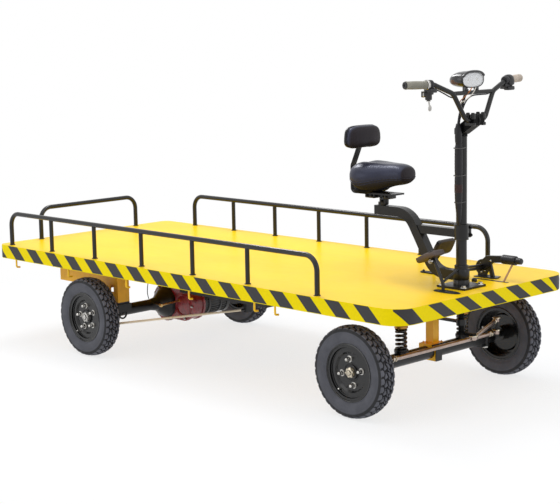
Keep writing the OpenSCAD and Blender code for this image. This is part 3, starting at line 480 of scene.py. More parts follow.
class Shape:
    """Collects the faces of one piece."""

    def __init__(self):
        self.bm = bmesh.new()

    def loft(self, rings, closed=False):
        rows = [[self.bm.verts.new(p) for p in ring] for ring in rings]
        pairs = list(zip(rows, rows[1:])) + ([(rows[-1], rows[0])] if closed else [])
        for low, high in pairs:
            for i in range(len(low)):
                j = (i + 1) % len(low)
                self.bm.faces.new((low[i], low[j], high[j], high[i]))
        if not closed:
            self.bm.faces.new(rows[0][::-1])
            self.bm.faces.new(rows[-1])
        return self

    def tube(self, path, radius, sides=12, closed=False):
        path = [Vector(p) for p in path]
        n = len(path)
        radii = radius if isinstance(radius, (list, tuple)) else [radius] * n
        rings, side = [], None
        for i, p in enumerate(path):
            before = path[i - 1] if i or closed else p
            after = path[(i + 1) % n] if i < n - 1 or closed else p
            along = (after - before).normalized()
            side = along.orthogonal() if side is None else side - along * side.dot(along)
            side.normalize()
            other = along.cross(side)
            rings.append([p + (side * math.cos(a) + other * math.sin(a)) * radii[i]
                          for a in (2 * math.pi * k / sides for k in range(sides))])
        return self.loft(rings, closed)

    def lathe(self, profile, at, axis=Z, steps=32):
        """Revolves (height, radius) pairs about the axis."""
        turn, at = towards(axis), Vector(at)
        rings = []
        for h, r in profile:
            r = max(r, 1e-5)
            rings.append([at + turn @ vec(r * math.cos(a), r * math.sin(a), h)
                          for a in (2 * math.pi * k / steps for k in range(steps))])
        return self.loft(rings)

    def hexagon(self, at, axis, across, height, turn=0.0):
        """Nut or bolt head with chamfered corners, standing on at."""
        spin, at = towards(axis), Vector(at)
        r = across / math.sqrt(3)
        rings = []
        for h, k in ((0, 1), (height * 0.8, 1), (height, 0.84), (height, 0.5)):
            rings.append([at + spin @ vec(r * k * math.cos(a + turn), r * k * math.sin(a + turn), h)
                          for a in (math.pi * i / 3 for i in range(6))])
        return self.loft(rings)

    def bolt(self, at, axis, across, washer=True):
        """Bolt head on a washer, with the end of its shank."""
        axis = Vector(axis).normalized()
        thick = across * 0.12 if washer else 0
        if washer:
            self.lathe([(0, across * 0.5), (0, across * 0.86), (thick, across * 0.84), (thick, across * 0.3)],
                       at, axis, 20)
        self.hexagon(Vector(at) + axis * thick, axis, across, across * 0.6)
        return self.lathe([(0, across * 0.26), (across * 0.86, across * 0.26), (across * 0.95, across * 0.2)],
                          at, axis, 14)

    def prism(self, outline, low, high, u=X, v=Y, at=(0, 0, 0), bevel=0.0):
        """Flat outline in the plane of u and v, raised from low to high along their normal."""
        w, at = u.cross(v), Vector(at)
        middle = Vector((sum(p[0] for p in outline) / len(outline), sum(p[1] for p in outline) / len(outline)))
        levels = [(low, 1), (high, 1)]
        size = max((Vector(p) - middle).length for p in outline)
        if bevel:
            k = 1 - bevel / size
            levels = [(low, k), (low + bevel, 1), (high - bevel, 1), (high, k)]
        rings = []
        for h, k in levels:
            rings.append([at + u * (middle.x + (p[0] - middle.x) * k) + v * (middle.y + (p[1] - middle.y) * k) + w * h
                          for p in outline])
        return self.loft(rings)

    def block(self, size, at, turn=UP, bevel=0.002):
        """Box with softened edges."""
        made_box = bmesh.ops.create_cube(self.bm, size=1)
        matrix = Matrix.Translation(at) @ turn.to_4x4() @ Matrix.Diagonal((*size, 1))
        bmesh.ops.transform(self.bm, matrix=matrix, verts=made_box["verts"])
        edges = list({e for vert in made_box["verts"] for e in vert.link_edges})
        bmesh.ops.bevel(self.bm, geom=edges, offset=bevel, segments=2, affect="EDGES", profile=0.5)
        return self

    def done(self, name, material, body, slot, replaces=(), angle=38, ride=True):
        bmesh.ops.recalc_face_normals(self.bm, faces=self.bm.faces)
        mesh = bpy.data.meshes.new(name)
        self.bm.to_mesh(mesh)
        self.bm.free()
        mesh.shade_smooth()
        mesh.set_sharp_from_angle(angle=math.radians(angle))
        piece = bpy.data.objects.new(name, mesh)
        bpy.context.scene.collection.objects.link(piece)
        return settle(piece, material, body, replaces, ride)


def settle(piece, material, body, replaces=(), ride=True):
    """Gives a piece its finish and its place in the frame."""
    piece.data.materials.clear()
    piece.data.materials.append(material)
    if ride:
        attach(piece, body)
    if replaces:
        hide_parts(*replaces)
    return piece


def finish_node(node, material):
    """Puts a finish on a CAD node."""
    data = frame["nodes"][node].data
    for i in range(len(data.materials)):
        data.materials[i] = material
    if not data.materials:
        data.materials.append(material)


def oval(half_u, half_v, power, count=40):
    """Superellipse outline."""
    out = []
    for i in range(count):
        a = 2 * math.pi * i / count
        c, s = math.cos(a), math.sin(a)
        out.append((half_u * math.copysign(abs(c) ** (2 / power), c),
                    half_v * math.copysign(abs(s) ** (2 / power), s)))
    return out


def remeshed(piece, voxel):
    mod = piece.modifiers.new("skin", "REMESH")
    mod.mode, mod.voxel_size = "VOXEL", voxel
    applied(piece)


def applied(piece):
    """Bakes a piece's modifiers into its mesh."""
    bpy.context.view_layer.update()
    shaped = bpy.data.meshes.new_from_object(piece.evaluated_get(bpy.context.evaluated_depsgraph_get()))
    old, piece.data = piece.data, shaped
    piece.modifiers.clear()
    bpy.data.meshes.remove(old)


FILL_PRESSURE, FILL_FRAMES = 4.0, 20


def swelled(piece, voxel, cap):
    """Fills a closed skin: voxel remesh, cloth pressure, and a limit on how far a point moves."""
    remeshed(piece, voxel)
    start = [v.co.copy() for v in piece.data.vertices]
    cloth = piece.modifiers.new("fill", "CLOTH")
    cloth.settings.use_pressure = True
    cloth.settings.uniform_pressure_force = FILL_PRESSURE
    cloth.settings.effector_weights.gravity = 0
    cloth.settings.tension_stiffness = cloth.settings.compression_stiffness = 40
    cloth.point_cache.frame_start, cloth.point_cache.frame_end = 1, FILL_FRAMES
    for i in range(1, FILL_FRAMES + 1):
        bpy.context.scene.frame_set(i)
    applied(piece)
    bpy.context.scene.frame_set(1)
    for v, s in zip(piece.data.vertices, start):
        move = v.co - s
        if move.length > cap:
            v.co = s + move * (cap / move.length)
    smooth = piece.modifiers.new("even", "CORRECTIVE_SMOOTH")
    smooth.iterations, smooth.use_only_smooth = 48, True
    fine = piece.modifiers.new("fine", "SUBSURF")
    fine.levels = fine.render_levels = 1
    applied(piece)
    piece.data.shade_smooth()


# ---------------------------------------------------------------- stage


def studio_world():
    """White to the eye and in reflections, softer as a light."""
    world = bpy.data.worlds.new("studio")
    bpy.context.scene.world = world
    world.use_nodes = True
    tree = world.node_tree
    back = next(n for n in tree.nodes if n.type == "BACKGROUND")
    path = tree.nodes.new("ShaderNodeLightPath")
    seen = None
    for ray in ("Is Camera Ray", "Is Glossy Ray", "Is Transmission Ray"):
        if seen is None:
            seen = path.outputs[ray]
            continue
        both = tree.nodes.new("ShaderNodeMath")
        both.operation = "MAXIMUM"
        tree.links.new(seen, both.inputs[0])
        tree.links.new(path.outputs[ray], both.inputs[1])
        seen = both.outputs[0]
    level = tree.nodes.new("ShaderNodeMapRange")
    level.inputs["To Min"].default_value = AMBIENT
    level.inputs["To Max"].default_value = 1.0
    tree.links.new(seen, level.inputs["Value"])
    tree.links.new(level.outputs[0], back.inputs["Strength"])
    back.inputs["Color"].default_value = (1, 1, 1, 1)


AMBIENT = 0.62
FLOOR_CLEAR = (1.5, 2.6)
FLOOR_FADE = 0.76


def studio_floor():
    """Pale floor that keeps the shadow and fades into the white round it."""
    f = Finish("studio_floor", {"Base Color": (0.91, 0.93, 0.97, 1), "Roughness": 0.9, "Specular IOR Level": 0.1})
    clear = f.tree.nodes.new("ShaderNodeBsdfTransparent")
    out = next(n for n in f.tree.nodes if n.type == "OUTPUT_MATERIAL")
    blend = f.tree.nodes.new("ShaderNodeMixShader")
    far = f.node("ShaderNodeVectorMath", {"operation": "LENGTH"}, {0: f.stretched((0.72, 1.0, 0.0))}, "Value")
    f.tree.links.new((FLOOR_FADE + f.step(far, *FLOOR_CLEAR) * (1 - FLOOR_FADE)).socket, blend.inputs[0])
    f.tree.links.new(f.shader.outputs[0], blend.inputs[1])
    f.tree.links.new(clear.outputs[0], blend.inputs[2])
    f.tree.links.new(blend.outputs[0], out.inputs["Surface"])
    mesh = bpy.data.meshes.new("studio_floor")
    s = 7.0
    mesh.from_pydata([(-s, -s, 0), (s, -s, 0), (s, s, 0), (-s, s, 0)], [], [(0, 1, 2, 3)])
    floor = bpy.data.objects.new("studio_floor", mesh)
    floor.data.materials.append(f.material)
    bpy.context.scene.collection.objects.link(floor)


def lamp(name, at, aim, size, power, along=None):
    """Area lamp; along turns its length that way."""
    data = bpy.data.lights.new(name, "AREA")
    data.shape, data.size, data.size_y, data.energy = "RECTANGLE", size[0], size[1], power
    light = bpy.data.objects.new(name, data)
    light.location = at
    way = (Vector(aim) - Vector(at)).normalized()
    turn = way.to_track_quat("-Z", "Y").to_matrix()
    if along:
        side = (Vector(along) - way * way.dot(Vector(along))).normalized()
        turn = Matrix((side, side.cross(way), -way)).transposed()
    light.rotation_euler = turn.to_euler()
    bpy.context.scene.collection.objects.link(light)


def photo_camera():
    yaw, pitch, roll = (math.radians(a) for a in (CAMERA_YAW, CAMERA_PITCH, CAMERA_ROLL))
    ahead = vec(-math.sin(yaw) * math.cos(pitch), math.cos(yaw) * math.cos(pitch), -math.sin(pitch))
    right = vec(math.cos(yaw), math.sin(yaw), 0)
    up = right.cross(ahead)
    r = right * math.cos(roll) + up * math.sin(roll)
    u = up * math.cos(roll) - right * math.sin(roll)
    data = bpy.data.cameras.new("photo_camera")
    data.sensor_fit, data.sensor_width = "HORIZONTAL", 36
    data.lens = CAMERA_FOCUS / FRAME_WIDTH * 36
    camera = bpy.data.objects.new("photo_camera", data)
    turn = Matrix((r, u, -ahead)).transposed().to_4x4()
    camera.matrix_world = Matrix.Translation(CAMERA_AT) @ turn
    bpy.context.scene.collection.objects.link(camera)
    bpy.context.scene.camera = camera


class TRUCK_OT_stage(bpy.types.Operator):
    """Camera, white world, pale floor and soft lamps"""
    bl_idname = "truck.stage"
    bl_label = "Stage"

    def execute(self, context):
        context.scene.view_settings.view_transform = "Standard"
        photo_camera()
        studio_world()
        studio_floor()
        lamp("top_softbox", (0.6, -1.2, 4.8), (0.1, 0, 0.4), (6, 5), 100)
        lamp("sheen_softbox", (-1.53, 0.43, 3.86), (0.87, 0, 1.05), (2.7, 0.6), 84, (1.74, -1.25, 1.61))
        lamp("side_softbox", (-1.5, -5.5, 2.2), (0.2, 0, 0.5), (4, 2.4), 40)
        lamp("front_softbox", (6.0, 1.0, 2.6), (0.8, 0, 0.6), (2.4, 3), 30)
        return {"FINISHED"}


# ---------------------------------------------------------------- painted frame


class TRUCK_OT_paint(bpy.types.Operator):
    """Finishes on the solids that stay as they are"""
    bl_idname = "truck.paint"
    bl_label = "Paint"

    def execute(self, context):
        f = finishes()
        coats = {
            f.deck: ["deck"],
            f.stripe: ["hazard_stripes"],
            f.frame: ["cross_members", "long_beam_right", "long_beam_left"],
            f.hook: ["rope_hooks"],
            f.post: ["front_post"],
            f.hanger: ["rear_hangers"],
            f.black: ["column", "tie_bar", "seat_tube", "seat_post", "backrest_bracket", "pedal_right",
                      "pedal_left", "parking_lever", "handlebar"],
            f.stem: ["steering_stem"],
            f.axle: ["rear_axle", "front_beam", "knuckle_right", "knuckle_left"],
            f.battery: ["battery"],
            f.gear: ["gearbox"],
            f.motor: ["motor"],
            f.bronze: ["spring_seats"],
            f.rod: ["tie_rod", "drag_link"],
            f.cream: ["brake_rod"],
            f.loom: ["cable_loom"],
            f.grip: ["grips"],
            f.control: ["throttle_switch", "switch_cluster"],
            f.gloss: ["lamp_shell"],
            f.lens: ["lamp_lens"],
            f.amber: ["side_markers"],
            f.rail: ["guard_rail_right", "guard_rail_left", "guard_rail_rear", "front_springs"],
            f.rim: ["rim_" + w for w in WHEELS],
            f.tyre: ["tyre_" + w for w in WHEELS],
            f.leather: ["saddle", "backrest"],
        }
        for material, nodes in coats.items():
            for node in nodes:
                finish_node(node, material)
        return {"FINISHED"}


# ---------------------------------------------------------------- wheels


def zigzag(p):
    return 4 * abs(p - math.floor(p + 0.5)) - 1


def edge(value, width, soft):
    """1 where value is below width, falling to 0 over soft."""
    t = min(1, max(0, (value - width) / soft))
    return 1 - t * t * (3 - 2 * t)


# Zigzag grooves, out from the tyre's middle plane
INNER_CUT, OUTER_CUT = 0.0105, 0.0270


def groove(p, y):
    """How deep the tread is cut at pitch p and at y across it, from 0 to 1."""
    side, a = 1 if y > 0 else -1, abs(y)
    cut = edge(abs(a - INNER_CUT - 0.0040 * zigzag(p + 0.25 * side)), 0.0030, 0.0012)
    outer = edge(abs(a - OUTER_CUT - 0.0036 * zigzag(p + 0.5 + 0.25 * side)), 0.0024, 0.0012)
    if a > OUTER_CUT:
        slot = (p + 0.5 * (side > 0) + a * 6) % 1
        return max(outer, edge(abs(slot - 0.5), 0.11, 0.06))
    if a > INNER_CUT:
        slot = (p + 0.25 + 0.5 * (side > 0) + a * 14) % 1
        return max(cut, outer, edge(abs(slot - 0.5), 0.09, 0.06))
    slot = (p + 0.3 * side + y * 24) % 1
    return max(cut, 0.8 * edge(abs(slot - 0.5), 0.07, 0.05))


# Half section of a tyre: across, radius, share of the tread's depth
TYRE_WALL = ((0.0322, 0.1215, 0), (0.0324, 0.1290, 0), (0.0362, 0.1322, 0), (0.0400, 0.1362, 0), (0.0408, 0.1385, 0),
             (0.0400, 0.1400, 0), (0.0432, 0.1450, 0), (0.0456, 0.1530, 0), (0.0468, 0.1620, 0), (0.0472, 0.1700, 0),
             (0.0474, 0.1745, 0), (0.0466, 0.1762, 0), (0.0474, 0.1785, 0), (0.0472, 0.1830, 0),
             (0.0467, 0.1880, 0.06), (0.0460, 0.1930, 0.16), (0.0450, 0.1975, 0.26), (0.0438, 0.2010, 0.34))
CROWN_HALF, CROWN_BEND, CROWN_STEPS = 0.0424, 0.109, 44
# Radii over which the wall becomes tread, and waves per metre of the wall's rings
TREAD_FROM, WALL_RINGS = (0.184, 0.189), 1500.0


def tyre_section(radius):
    crown = []
    for i in range(CROWN_STEPS + 1):
        y = CROWN_HALF * (1 - 2 * i / CROWN_STEPS)
        crown.append((y, radius - y * y / (2 * CROWN_BEND), 1 - 0.62 * (abs(y) / CROWN_HALF) ** 3))
    return [*TYRE_WALL, *crown, *((-y, r, w) for y, r, w in reversed(TYRE_WALL))]


class TRUCK_OT_tyres(bpy.types.Operator):
    """Four tyres with block tread, wall rings and a bead"""
    bl_idname = "truck.tyres"
    bl_label = "Tyres"

    def execute(self, context):
        sizes, f = context.scene.truck_sizes, finishes()
        pitches, per = sizes.tread_pitches, 13
        for wheel in WHEELS:
            low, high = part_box("tyre_" + wheel)
            middle = (low + high) / 2
            section = tyre_section((high.z - low.z) / 2)
            rings = []
            for i in range(pitches * per):
                a = 2 * math.pi * i / (pitches * per)
                ring = []
                for y, r, share in section:
                    cut = groove(i / per, y) * share * sizes.tread_depth if share else 0
                    depth = r - cut
                    if abs(y) > CROWN_HALF:
                        y -= math.copysign(cut * 0.55, y)
                        depth = r - cut * 0.35
                    ring.append(middle + vec(depth * math.cos(a), y, depth * math.sin(a)))
                rings.append(ring)
            Shape().loft(rings, closed=True).done("tyre_tread_" + wheel, f.tyre, "wheel_" + wheel, "tyre_black",
                                                  ["tyre_" + wheel], angle=50)
        return {"FINISHED"}


# Faces of a wheel, out from its middle plane
DISC_FACE, HUB_FACE, NUT_FACE, STUB_FACE, LIP_FACE = 0.016, 0.022, 0.035, 0.039, 0.037
LIP_R, STUD_CIRCLE = 0.131, 0.060


def spoke(a):
    return vec(math.cos(a), 0, math.sin(a))


class TRUCK_OT_wheels(bpy.types.Operator):
    """Rim beads, wheel nuts, hub nuts and valves"""
    bl_idname = "truck.wheels"
    bl_label = "Wheels"

    def execute(self, context):
        sizes, f = context.scene.truck_sizes, finishes()
        for wheel in WHEELS:
            front = wheel.startswith("front")
            c = centre("tyre_" + wheel)
            out = vec(0, -1 if wheel.endswith("right") else 1, 0)
            body = "wheel_" + wheel
            rim = Shape()
            for way in (1, -1):
                rim.tube(arc(c + out * LIP_FACE * way, LIP_R, 0, 360, 72)[:-1], 0.0046, 8, closed=True)
            for face, r, thick in ((0.0255, 0.1135, 0.0024), (DISC_FACE, 0.0410, 0.0025)):
                rim.tube(arc(c + out * face, r, 0, 360, 72)[:-1], thick, 8, closed=True)
            rim.lathe([(HUB_FACE - 0.004, 0.026), (HUB_FACE - 0.004, 0.0345), (HUB_FACE - 0.001, 0.0345),
                       (HUB_FACE + 0.001, 0.0325), (HUB_FACE + 0.001, 0.026)], c, out, 40)
            rim.done("rim_beads_" + wheel, f.rim, body, "rim_black")
            nuts, count = Shape(), 4 if front else 5
            for i in range(count):
                a = 2 * math.pi * i / count + (0.2 if front else 0.5)
                at = c + out * (DISC_FACE - 0.0005) + spoke(a) * STUD_CIRCLE
                across = sizes.nut_across
                nuts.lathe([(0, 0.006), (0, across * 0.74), (0.0022, across * 0.72), (0.0022, 0.006)], at, out, 22)
                nuts.hexagon(at + out * 0.0022, out, across, 0.014, a)
                nuts.lathe([(0.012, across * 0.44), (0.020, across * 0.44), (0.025, across * 0.38),
                            (0.0282, across * 0.24), (0.0295, across * 0.08)], at, out, 18)
            nuts.done("wheel_nuts_" + wheel, f.nut, body, "zinc")
            stem = Shape()
            a = math.radians(238)
            at = c + spoke(a) * 0.101 + out * 0.024
            lean = (out - spoke(a) * 0.35).normalized()
            stem.lathe(mm(0, 4.5, 4, 5.6, 7, 4, 20, 3, 20.5, 4.2, 28, 4.2, 30, 3.4), at, lean, 16)
            stem.done("tyre_valve_" + wheel, f.steel, body, "zinc")
            carrier = "knuckle_" + wheel.split("_")[1] if front else "chassis"
            shaft = 0.0125 if front else 0.015
            hub = Shape()
            hub.lathe([(HUB_FACE + 0.0012, shaft), (HUB_FACE + 0.0012, shaft + 0.0105),
                       (HUB_FACE + 0.003, shaft + 0.0108), (HUB_FACE + 0.0034, shaft)], c, out, 30)
            hub.hexagon(c + out * (HUB_FACE + 0.003), out, 2 * shaft + 0.017, NUT_FACE - HUB_FACE - 0.002, 0.3)
            hub.lathe([(NUT_FACE, shaft * 0.9), (STUB_FACE + 0.001, shaft * 0.9), (STUB_FACE + 0.003, shaft * 0.7)],
                      c, out, 24)
            hub.tube([c + out * (NUT_FACE + 0.0035) + X * x for x in (-0.019, -0.008, 0.008, 0.019)], 0.0016, 8)
            hub.done("axle_nut_" + wheel, f.nut_gold if front else f.steel, carrier, "zinc")
        return {"FINISHED"}


# ---------------------------------------------------------------- cushions

# Saddle from tail to nose: share of the length, half width, underside and top as shares of the height, dip between
# the cheeks
SADDLE = ((0.035, 0.52, 0.36, 0.82, 0.00), (0.060, 0.70, 0.22, 0.91, 0.03), (0.12, 0.88, 0.08, 0.97, 0.07),
          (0.21, 0.97, 0.01, 1.00, 0.10), (0.33, 1.00, 0.00, 1.00, 0.11), (0.45, 0.96, 0.07, 0.985, 0.09),
          (0.58, 0.83, 0.17, 0.965, 0.05), (0.72, 0.68, 0.25, 0.955, 0.02), (0.86, 0.58, 0.30, 0.945, 0.00),
          (0.96, 0.53, 0.32, 0.93, 0.00), (1.000, 0.47, 0.35, 0.89, 0.00))


SADDLE_POWER = 2.35


def saddle_ring(low, high, station, grow=0.0):
    along, wide, under, top, dip = station
    half = (high.y - low.y) / 2 * wide + grow
    tall = high.z - low.z
    bottom, crest = low.z + under * tall - grow, low.z + top * tall + grow
    ring = []
    for y, z in oval(half, (crest - bottom) / 2, SADDLE_POWER):
        z += (crest + bottom) / 2
        if z > (crest + bottom) / 2:
            z -= dip * tall * math.exp(-(y / 0.032) ** 2)
        ring.append(vec(low.x + along * (high.x - low.x), y, z))
    return ring


def on_skin(piece, points, lift):
    """Points moved to the piece's surface and off it by lift."""
    out = []
    for p in points:
        _, at, normal, _ = piece.closest_point_on_mesh(p)
        out.append(at + normal * lift)
    return out


def seat_block(shape, size, at, bolts=1):
    """Bracket below the saddle with a bolt on each side."""
    shape.block(size, at, UP, 0.004)
    for side in (-1, 1):
        for i in range(bolts):
            x = (i - (bolts - 1) / 2) * size[0] * 0.45
            shape.bolt(Vector(at) + vec(x, side * size[1] / 2, 0), (0, side, 0), 0.012)


class TRUCK_OT_saddle(bpy.types.Operator):
    """Padded saddle with two cheeks, its pan, seam cord and clamp"""
    bl_idname = "truck.saddle"
    bl_label = "Saddle"

    def execute(self, context):
        sizes, f = context.scene.truck_sizes, finishes()
        low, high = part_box("saddle")
        tall = high.z - low.z
        skin = Shape().loft([saddle_ring(low, high, s, -sizes.saddle_swell * 0.6) for s in SADDLE])
        cushion = skin.done("saddle_cushion", f.leather, "chassis", "leather_dark", ["saddle"], ride=False)
        swelled(cushion, 0.0055, sizes.saddle_swell)
        for height, name in ((0.30, "saddle_seam"), (0.16, "saddle_hem")):
            rim = []
            for station in SADDLE:
                side = max(saddle_ring(low, high, station), key=lambda p: p.y)
                share = station[2] * (1 - height) + station[3] * height
                rim.append(vec(side.x, side.y, low.z + share * tall))
            tail = [vec(low.x, y, rim[0].z) for y in (0.03, -0.03)]
            nose = [vec(high.x, y, rim[-1].z) for y in (-0.014, 0.014)]
            right = [vec(p.x, -p.y, p.z) for p in rim]
            loop = flowing([*rim[::-1], *tail, *right, *nose, rim[-1]], 6)[:-1]
            radius = sizes.seam if height > 0.2 else sizes.seam * 0.7
            Shape().tube(on_skin(cushion, loop, radius * 0.2), radius, 8, closed=True).done(
                name, f.leather, "chassis", "leather_dark")
        settle(cushion, f.leather, "chassis")
        pan, rings = Shape(), []
        outline = [(low.x + along * (high.x - low.x), wide * (high.y - low.y) / 2) for along, wide, *_ in SADDLE[1:]]
        outline = [*outline, *((x, -y) for x, y in reversed(outline))]
        mid = low.x * 0.64 + high.x * 0.36
        for z, k in ((0.018, 0.52), (0.006, 0.56), (-0.003, 0.54), (-0.006, 0.48)):
            rings.append([vec(mid + (x - mid) * k * (1 if x > mid else 1.8), y * k,
                              low.z + z + max(0, x - mid) * 0.30) for x, y in outline])
        pan.loft(rings)
        pan.done("saddle_pan", f.foot, "chassis", "black_paint")
        post, top = centre("seat_post"), low.z - 0.006
        clamp = Shape()
        at = vec(post.x, 0, top)
        seat_block(clamp, (0.062, 0.070, 0.024), at + vec(-0.066, 0, -0.010), 2)
        seat_block(clamp, (0.034, 0.054, 0.028), at + vec(0.034, 0, -0.008))
        clamp.lathe(mm(-52, 12.5, -52, 18.5, -46, 20, -22, 20, -16, 18.5, -16, 12.5), at, Z, 28)
        clamp.bolt(at + vec(0.0, -0.019, -0.034), (0, -1, 0), 0.013)
        clamp.done("saddle_clamp", f.black, "chassis", "black_paint")
        return {"FINISHED"}


def rest_outline(half_w, half_h, count=48):
    """Backrest seen from the front: (across, up), narrower at the top."""
    return [(y * (1 - 0.05 * z / half_h), z) for y, z in oval(half_w, half_h, 3.7, count)]


class TRUCK_OT_backrest(bpy.types.Operator):
    """Padded backrest with its seam cord, back shell and bracket bolts"""
    bl_idname = "truck.backrest"
    bl_label = "Backrest"

    def execute(self, context):
        sizes, f = context.scene.truck_sizes, finishes()
        low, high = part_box("backrest")
        mid = (low + high) / 2
        half_w, half_h, thick = (high.y - low.y) / 2, (high.z - low.z) / 2, high.x - low.x
        rings = []
        for along, k in ((0.06, 0.80), (0.10, 0.93), (0.30, 0.985), (0.60, 0.975), (0.80, 0.90), (0.92, 0.72),
                         (0.97, 0.45)):
            rings.append([vec(low.x + along * thick - 0.06 * thick * along * (y / half_w) ** 2, mid.y + y * k / 1.06,
                              mid.z + z * k) for y, z in rest_outline(half_w - 0.004, half_h - 0.004)])
        pad = Shape().loft(rings).done("backrest_cushion", f.leather, "chassis", "leather_dark",
                                       ["backrest"], ride=False)
        swelled(pad, 0.005, sizes.rest_swell)
        edge_line = [vec(low.x + 0.26 * thick, mid.y + y, mid.z + z) for y, z in rest_outline(half_w, half_h, 96)]
        Shape().tube(on_skin(pad, edge_line, sizes.seam * 0.3), sizes.seam, 8, closed=True).done(
            "backrest_seam", f.leather, "chassis", "leather_dark")
        settle(pad, f.leather, "chassis")
        shell = Shape()
        shell.prism(rest_outline(half_w * 0.86, half_h * 0.84), -0.004, 0.008, Y, Z,
                    (low.x + 0.001, mid.y, mid.z), 0.003)
        for z in (-0.012, 0.012):
            shell.bolt((low.x - 0.009, 0, mid.z - 0.02 + z), -X, 0.010)
        shell.done("backrest_shell", f.control, "chassis", "black_paint")
        return {"FINISHED"}


# ---------------------------------------------------------------- lamp and handlebar

# Lamp pod from tail to rim: share of the depth, half width, half height, rise
POD = ((0.00, 0.30, 0.22, -0.16), (0.04, 0.50, 0.42, -0.13), (0.12, 0.68, 0.62, -0.09), (0.25, 0.82, 0.80, -0.04),
       (0.42, 0.92, 0.92, 0.00), (0.62, 0.98, 0.98, 0.02), (0.82, 1.00, 1.00, 0.01), (0.95, 0.99, 0.98, 0.00),
       (1.00, 0.96, 0.95, 0.00), (0.99, 0.91, 0.89, 0.00), (0.74, 0.84, 0.82, 0.00), (0.72, 0.10, 0.10, 0.00))


POD_POWER = 2.5


def pod_ring(low, high, station):
    along, wide, tall, rise = station
    half_w, half_h = (high.y - low.y) / 2, (high.z - low.z) / 2
    mid_z = (low.z + high.z) / 2 + rise * half_h
    return [vec(low.x + along * (high.x - low.x), y, mid_z + z)
            for y, z in oval(half_w * wide, half_h * tall, POD_POWER, 48)]


def pod_box():
    """The pod's room: the lens from its front, and the shell without its legs."""
    shell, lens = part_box("lamp_shell"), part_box("lamp_lens")
    low = vec(shell[0].x, min(shell[0].y, lens[0].y), lens[0].z)
    return low, vec(lens[0].x, max(shell[1].y, lens[1].y), lens[1].z), lens[1].x


class TRUCK_OT_lamp(bpy.types.Operator):
    """Head lamp pod with its rim, white dish, clear lens, side markers and feet"""
    bl_idname = "truck.lamp"
    bl_label = "Lamp"

    def execute(self, context):
        f = finishes()
        low, high, nose = pod_box()
        half_w, half_h, mid_z = (high.y - low.y) / 2, (high.z - low.z) / 2, (low.z + high.z) / 2
        shell = Shape().loft([pod_ring(low, high, s) for s in POD])
        for y in (-0.040, 0.040):
            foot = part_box("lamp_shell")[0].z
            shell.block((0.020, 0.016, low.z - foot + 0.022), (high.x - 0.014, y, (low.z + foot) / 2 + 0.008),
                        UP, 0.003)
        shell.done("lamp_pod", f.gloss, "steering", "control_black", ["lamp_shell"])
        rim = Shape()
        rim.tube(pod_ring(low, high, (1.0, 0.945, 0.925, 0)), 0.0026, 10, closed=True)
        brow = [p for p in pod_ring(low, high, (1.0, 0.96, 0.95, 0)) if p.z > mid_z + 0.25 * half_h]
        brow.sort(key=lambda p: p.y)
        rim.tube([p + X * 0.004 for p in brow], [0.0016, *[0.0062] * (len(brow) - 2), 0.0016], 10)
        rim.done("lamp_rim", f.gloss, "steering", "control_black")
        # Painted reflection: the dish's near-white paint stands in for its chrome mirroring the bright surroundings
        dish, rows = Shape(), []
        for depth, k in ((0.002, 0.90), (0.010, 0.82), (0.020, 0.62), (0.026, 0.40), (0.028, 0.16)):
            ring = oval(half_w * k, half_h * k, POD_POWER, 28)
            rows.append([vec(high.x - depth + (0.0016 if i % 2 else -0.0006), y, mid_z + z)
                         for i, (y, z) in enumerate(ring)])
        dish.loft(rows)
        dish.done("lamp_mirror_dish", f.mirror, "steering", "lens_clear", angle=4)
        bulb = Shape()
        for y in (-0.38, 0.38):
            bulb.lathe(mm(-26, 8, -12, 9, -6, 10, 0, 8, 3, 3), (high.x - 0.004, y * half_w, mid_z), X, 20)
            for r in (0.014, 0.019):
                bulb.tube(arc((high.x - 0.012, y * half_w, mid_z), r, 0, 360, 24, Y, Z)[:-1], 0.0012, 6, closed=True)
        bulb.done("lamp_bulbs", f.white_wire, "steering", "lens_clear")
        rise = nose - high.x
        bulge = ((0, 0.93), (0.25, 0.925), (0.55, 0.86), (0.8, 0.70), (0.94, 0.46), (1.0, 0.16))
        glass = Shape().loft([[p + X * (rise * d) for p in pod_ring(low, high, (1.0, k, k * 0.98, 0))]
                              for d, k in bulge])
        glass.done("lamp_glass", f.lens, "steering", "lens_clear", ["lamp_lens"])
        marks = Shape()
        for side in (-1, 1):
            rings = []
            for h, k in ((-0.006, 1.0), (0.003, 1.0), (0.0055, 0.9), (0.0068, 0.6)):
                ring = []
                for u, v in oval(0.027 * k, 0.013 * k, 2.6, 28):
                    x = low.x + 0.56 * (high.x - low.x) + u
                    bulge = (x - low.x) / (high.x - low.x)
                    y = half_w * (0.80 + 0.28 * bulge - 0.14 * bulge * bulge) + h - 0.0035
                    ring.append(vec(x, side * y, mid_z - 0.009 + v))
                rings.append(ring)
            marks.loft(rings)
        marks.done("lamp_side_markers", f.amber, "steering", "lens_amber", ["side_markers"])
        return {"FINISHED"}


# Handlebar points as in the solids: forward of the clamp, across, up
BAR_POINTS = ((0, 0.0670, 0), (-0.012, 0.1439, 0.123), (-0.026, 0.2589, 0.167), (-0.061, 0.4110, 0.170))


def clamp_at():
    return vec(COLUMN_X + 0.078, 0, COLUMN_HIGH.z + 0.073)


def bar_at(i, side):
    x, y, z = BAR_POINTS[i]
    return clamp_at() + vec(x, side * y, z)


def on_grip(side, t):
    return bar_at(2, side).lerp(bar_at(3, side), t)


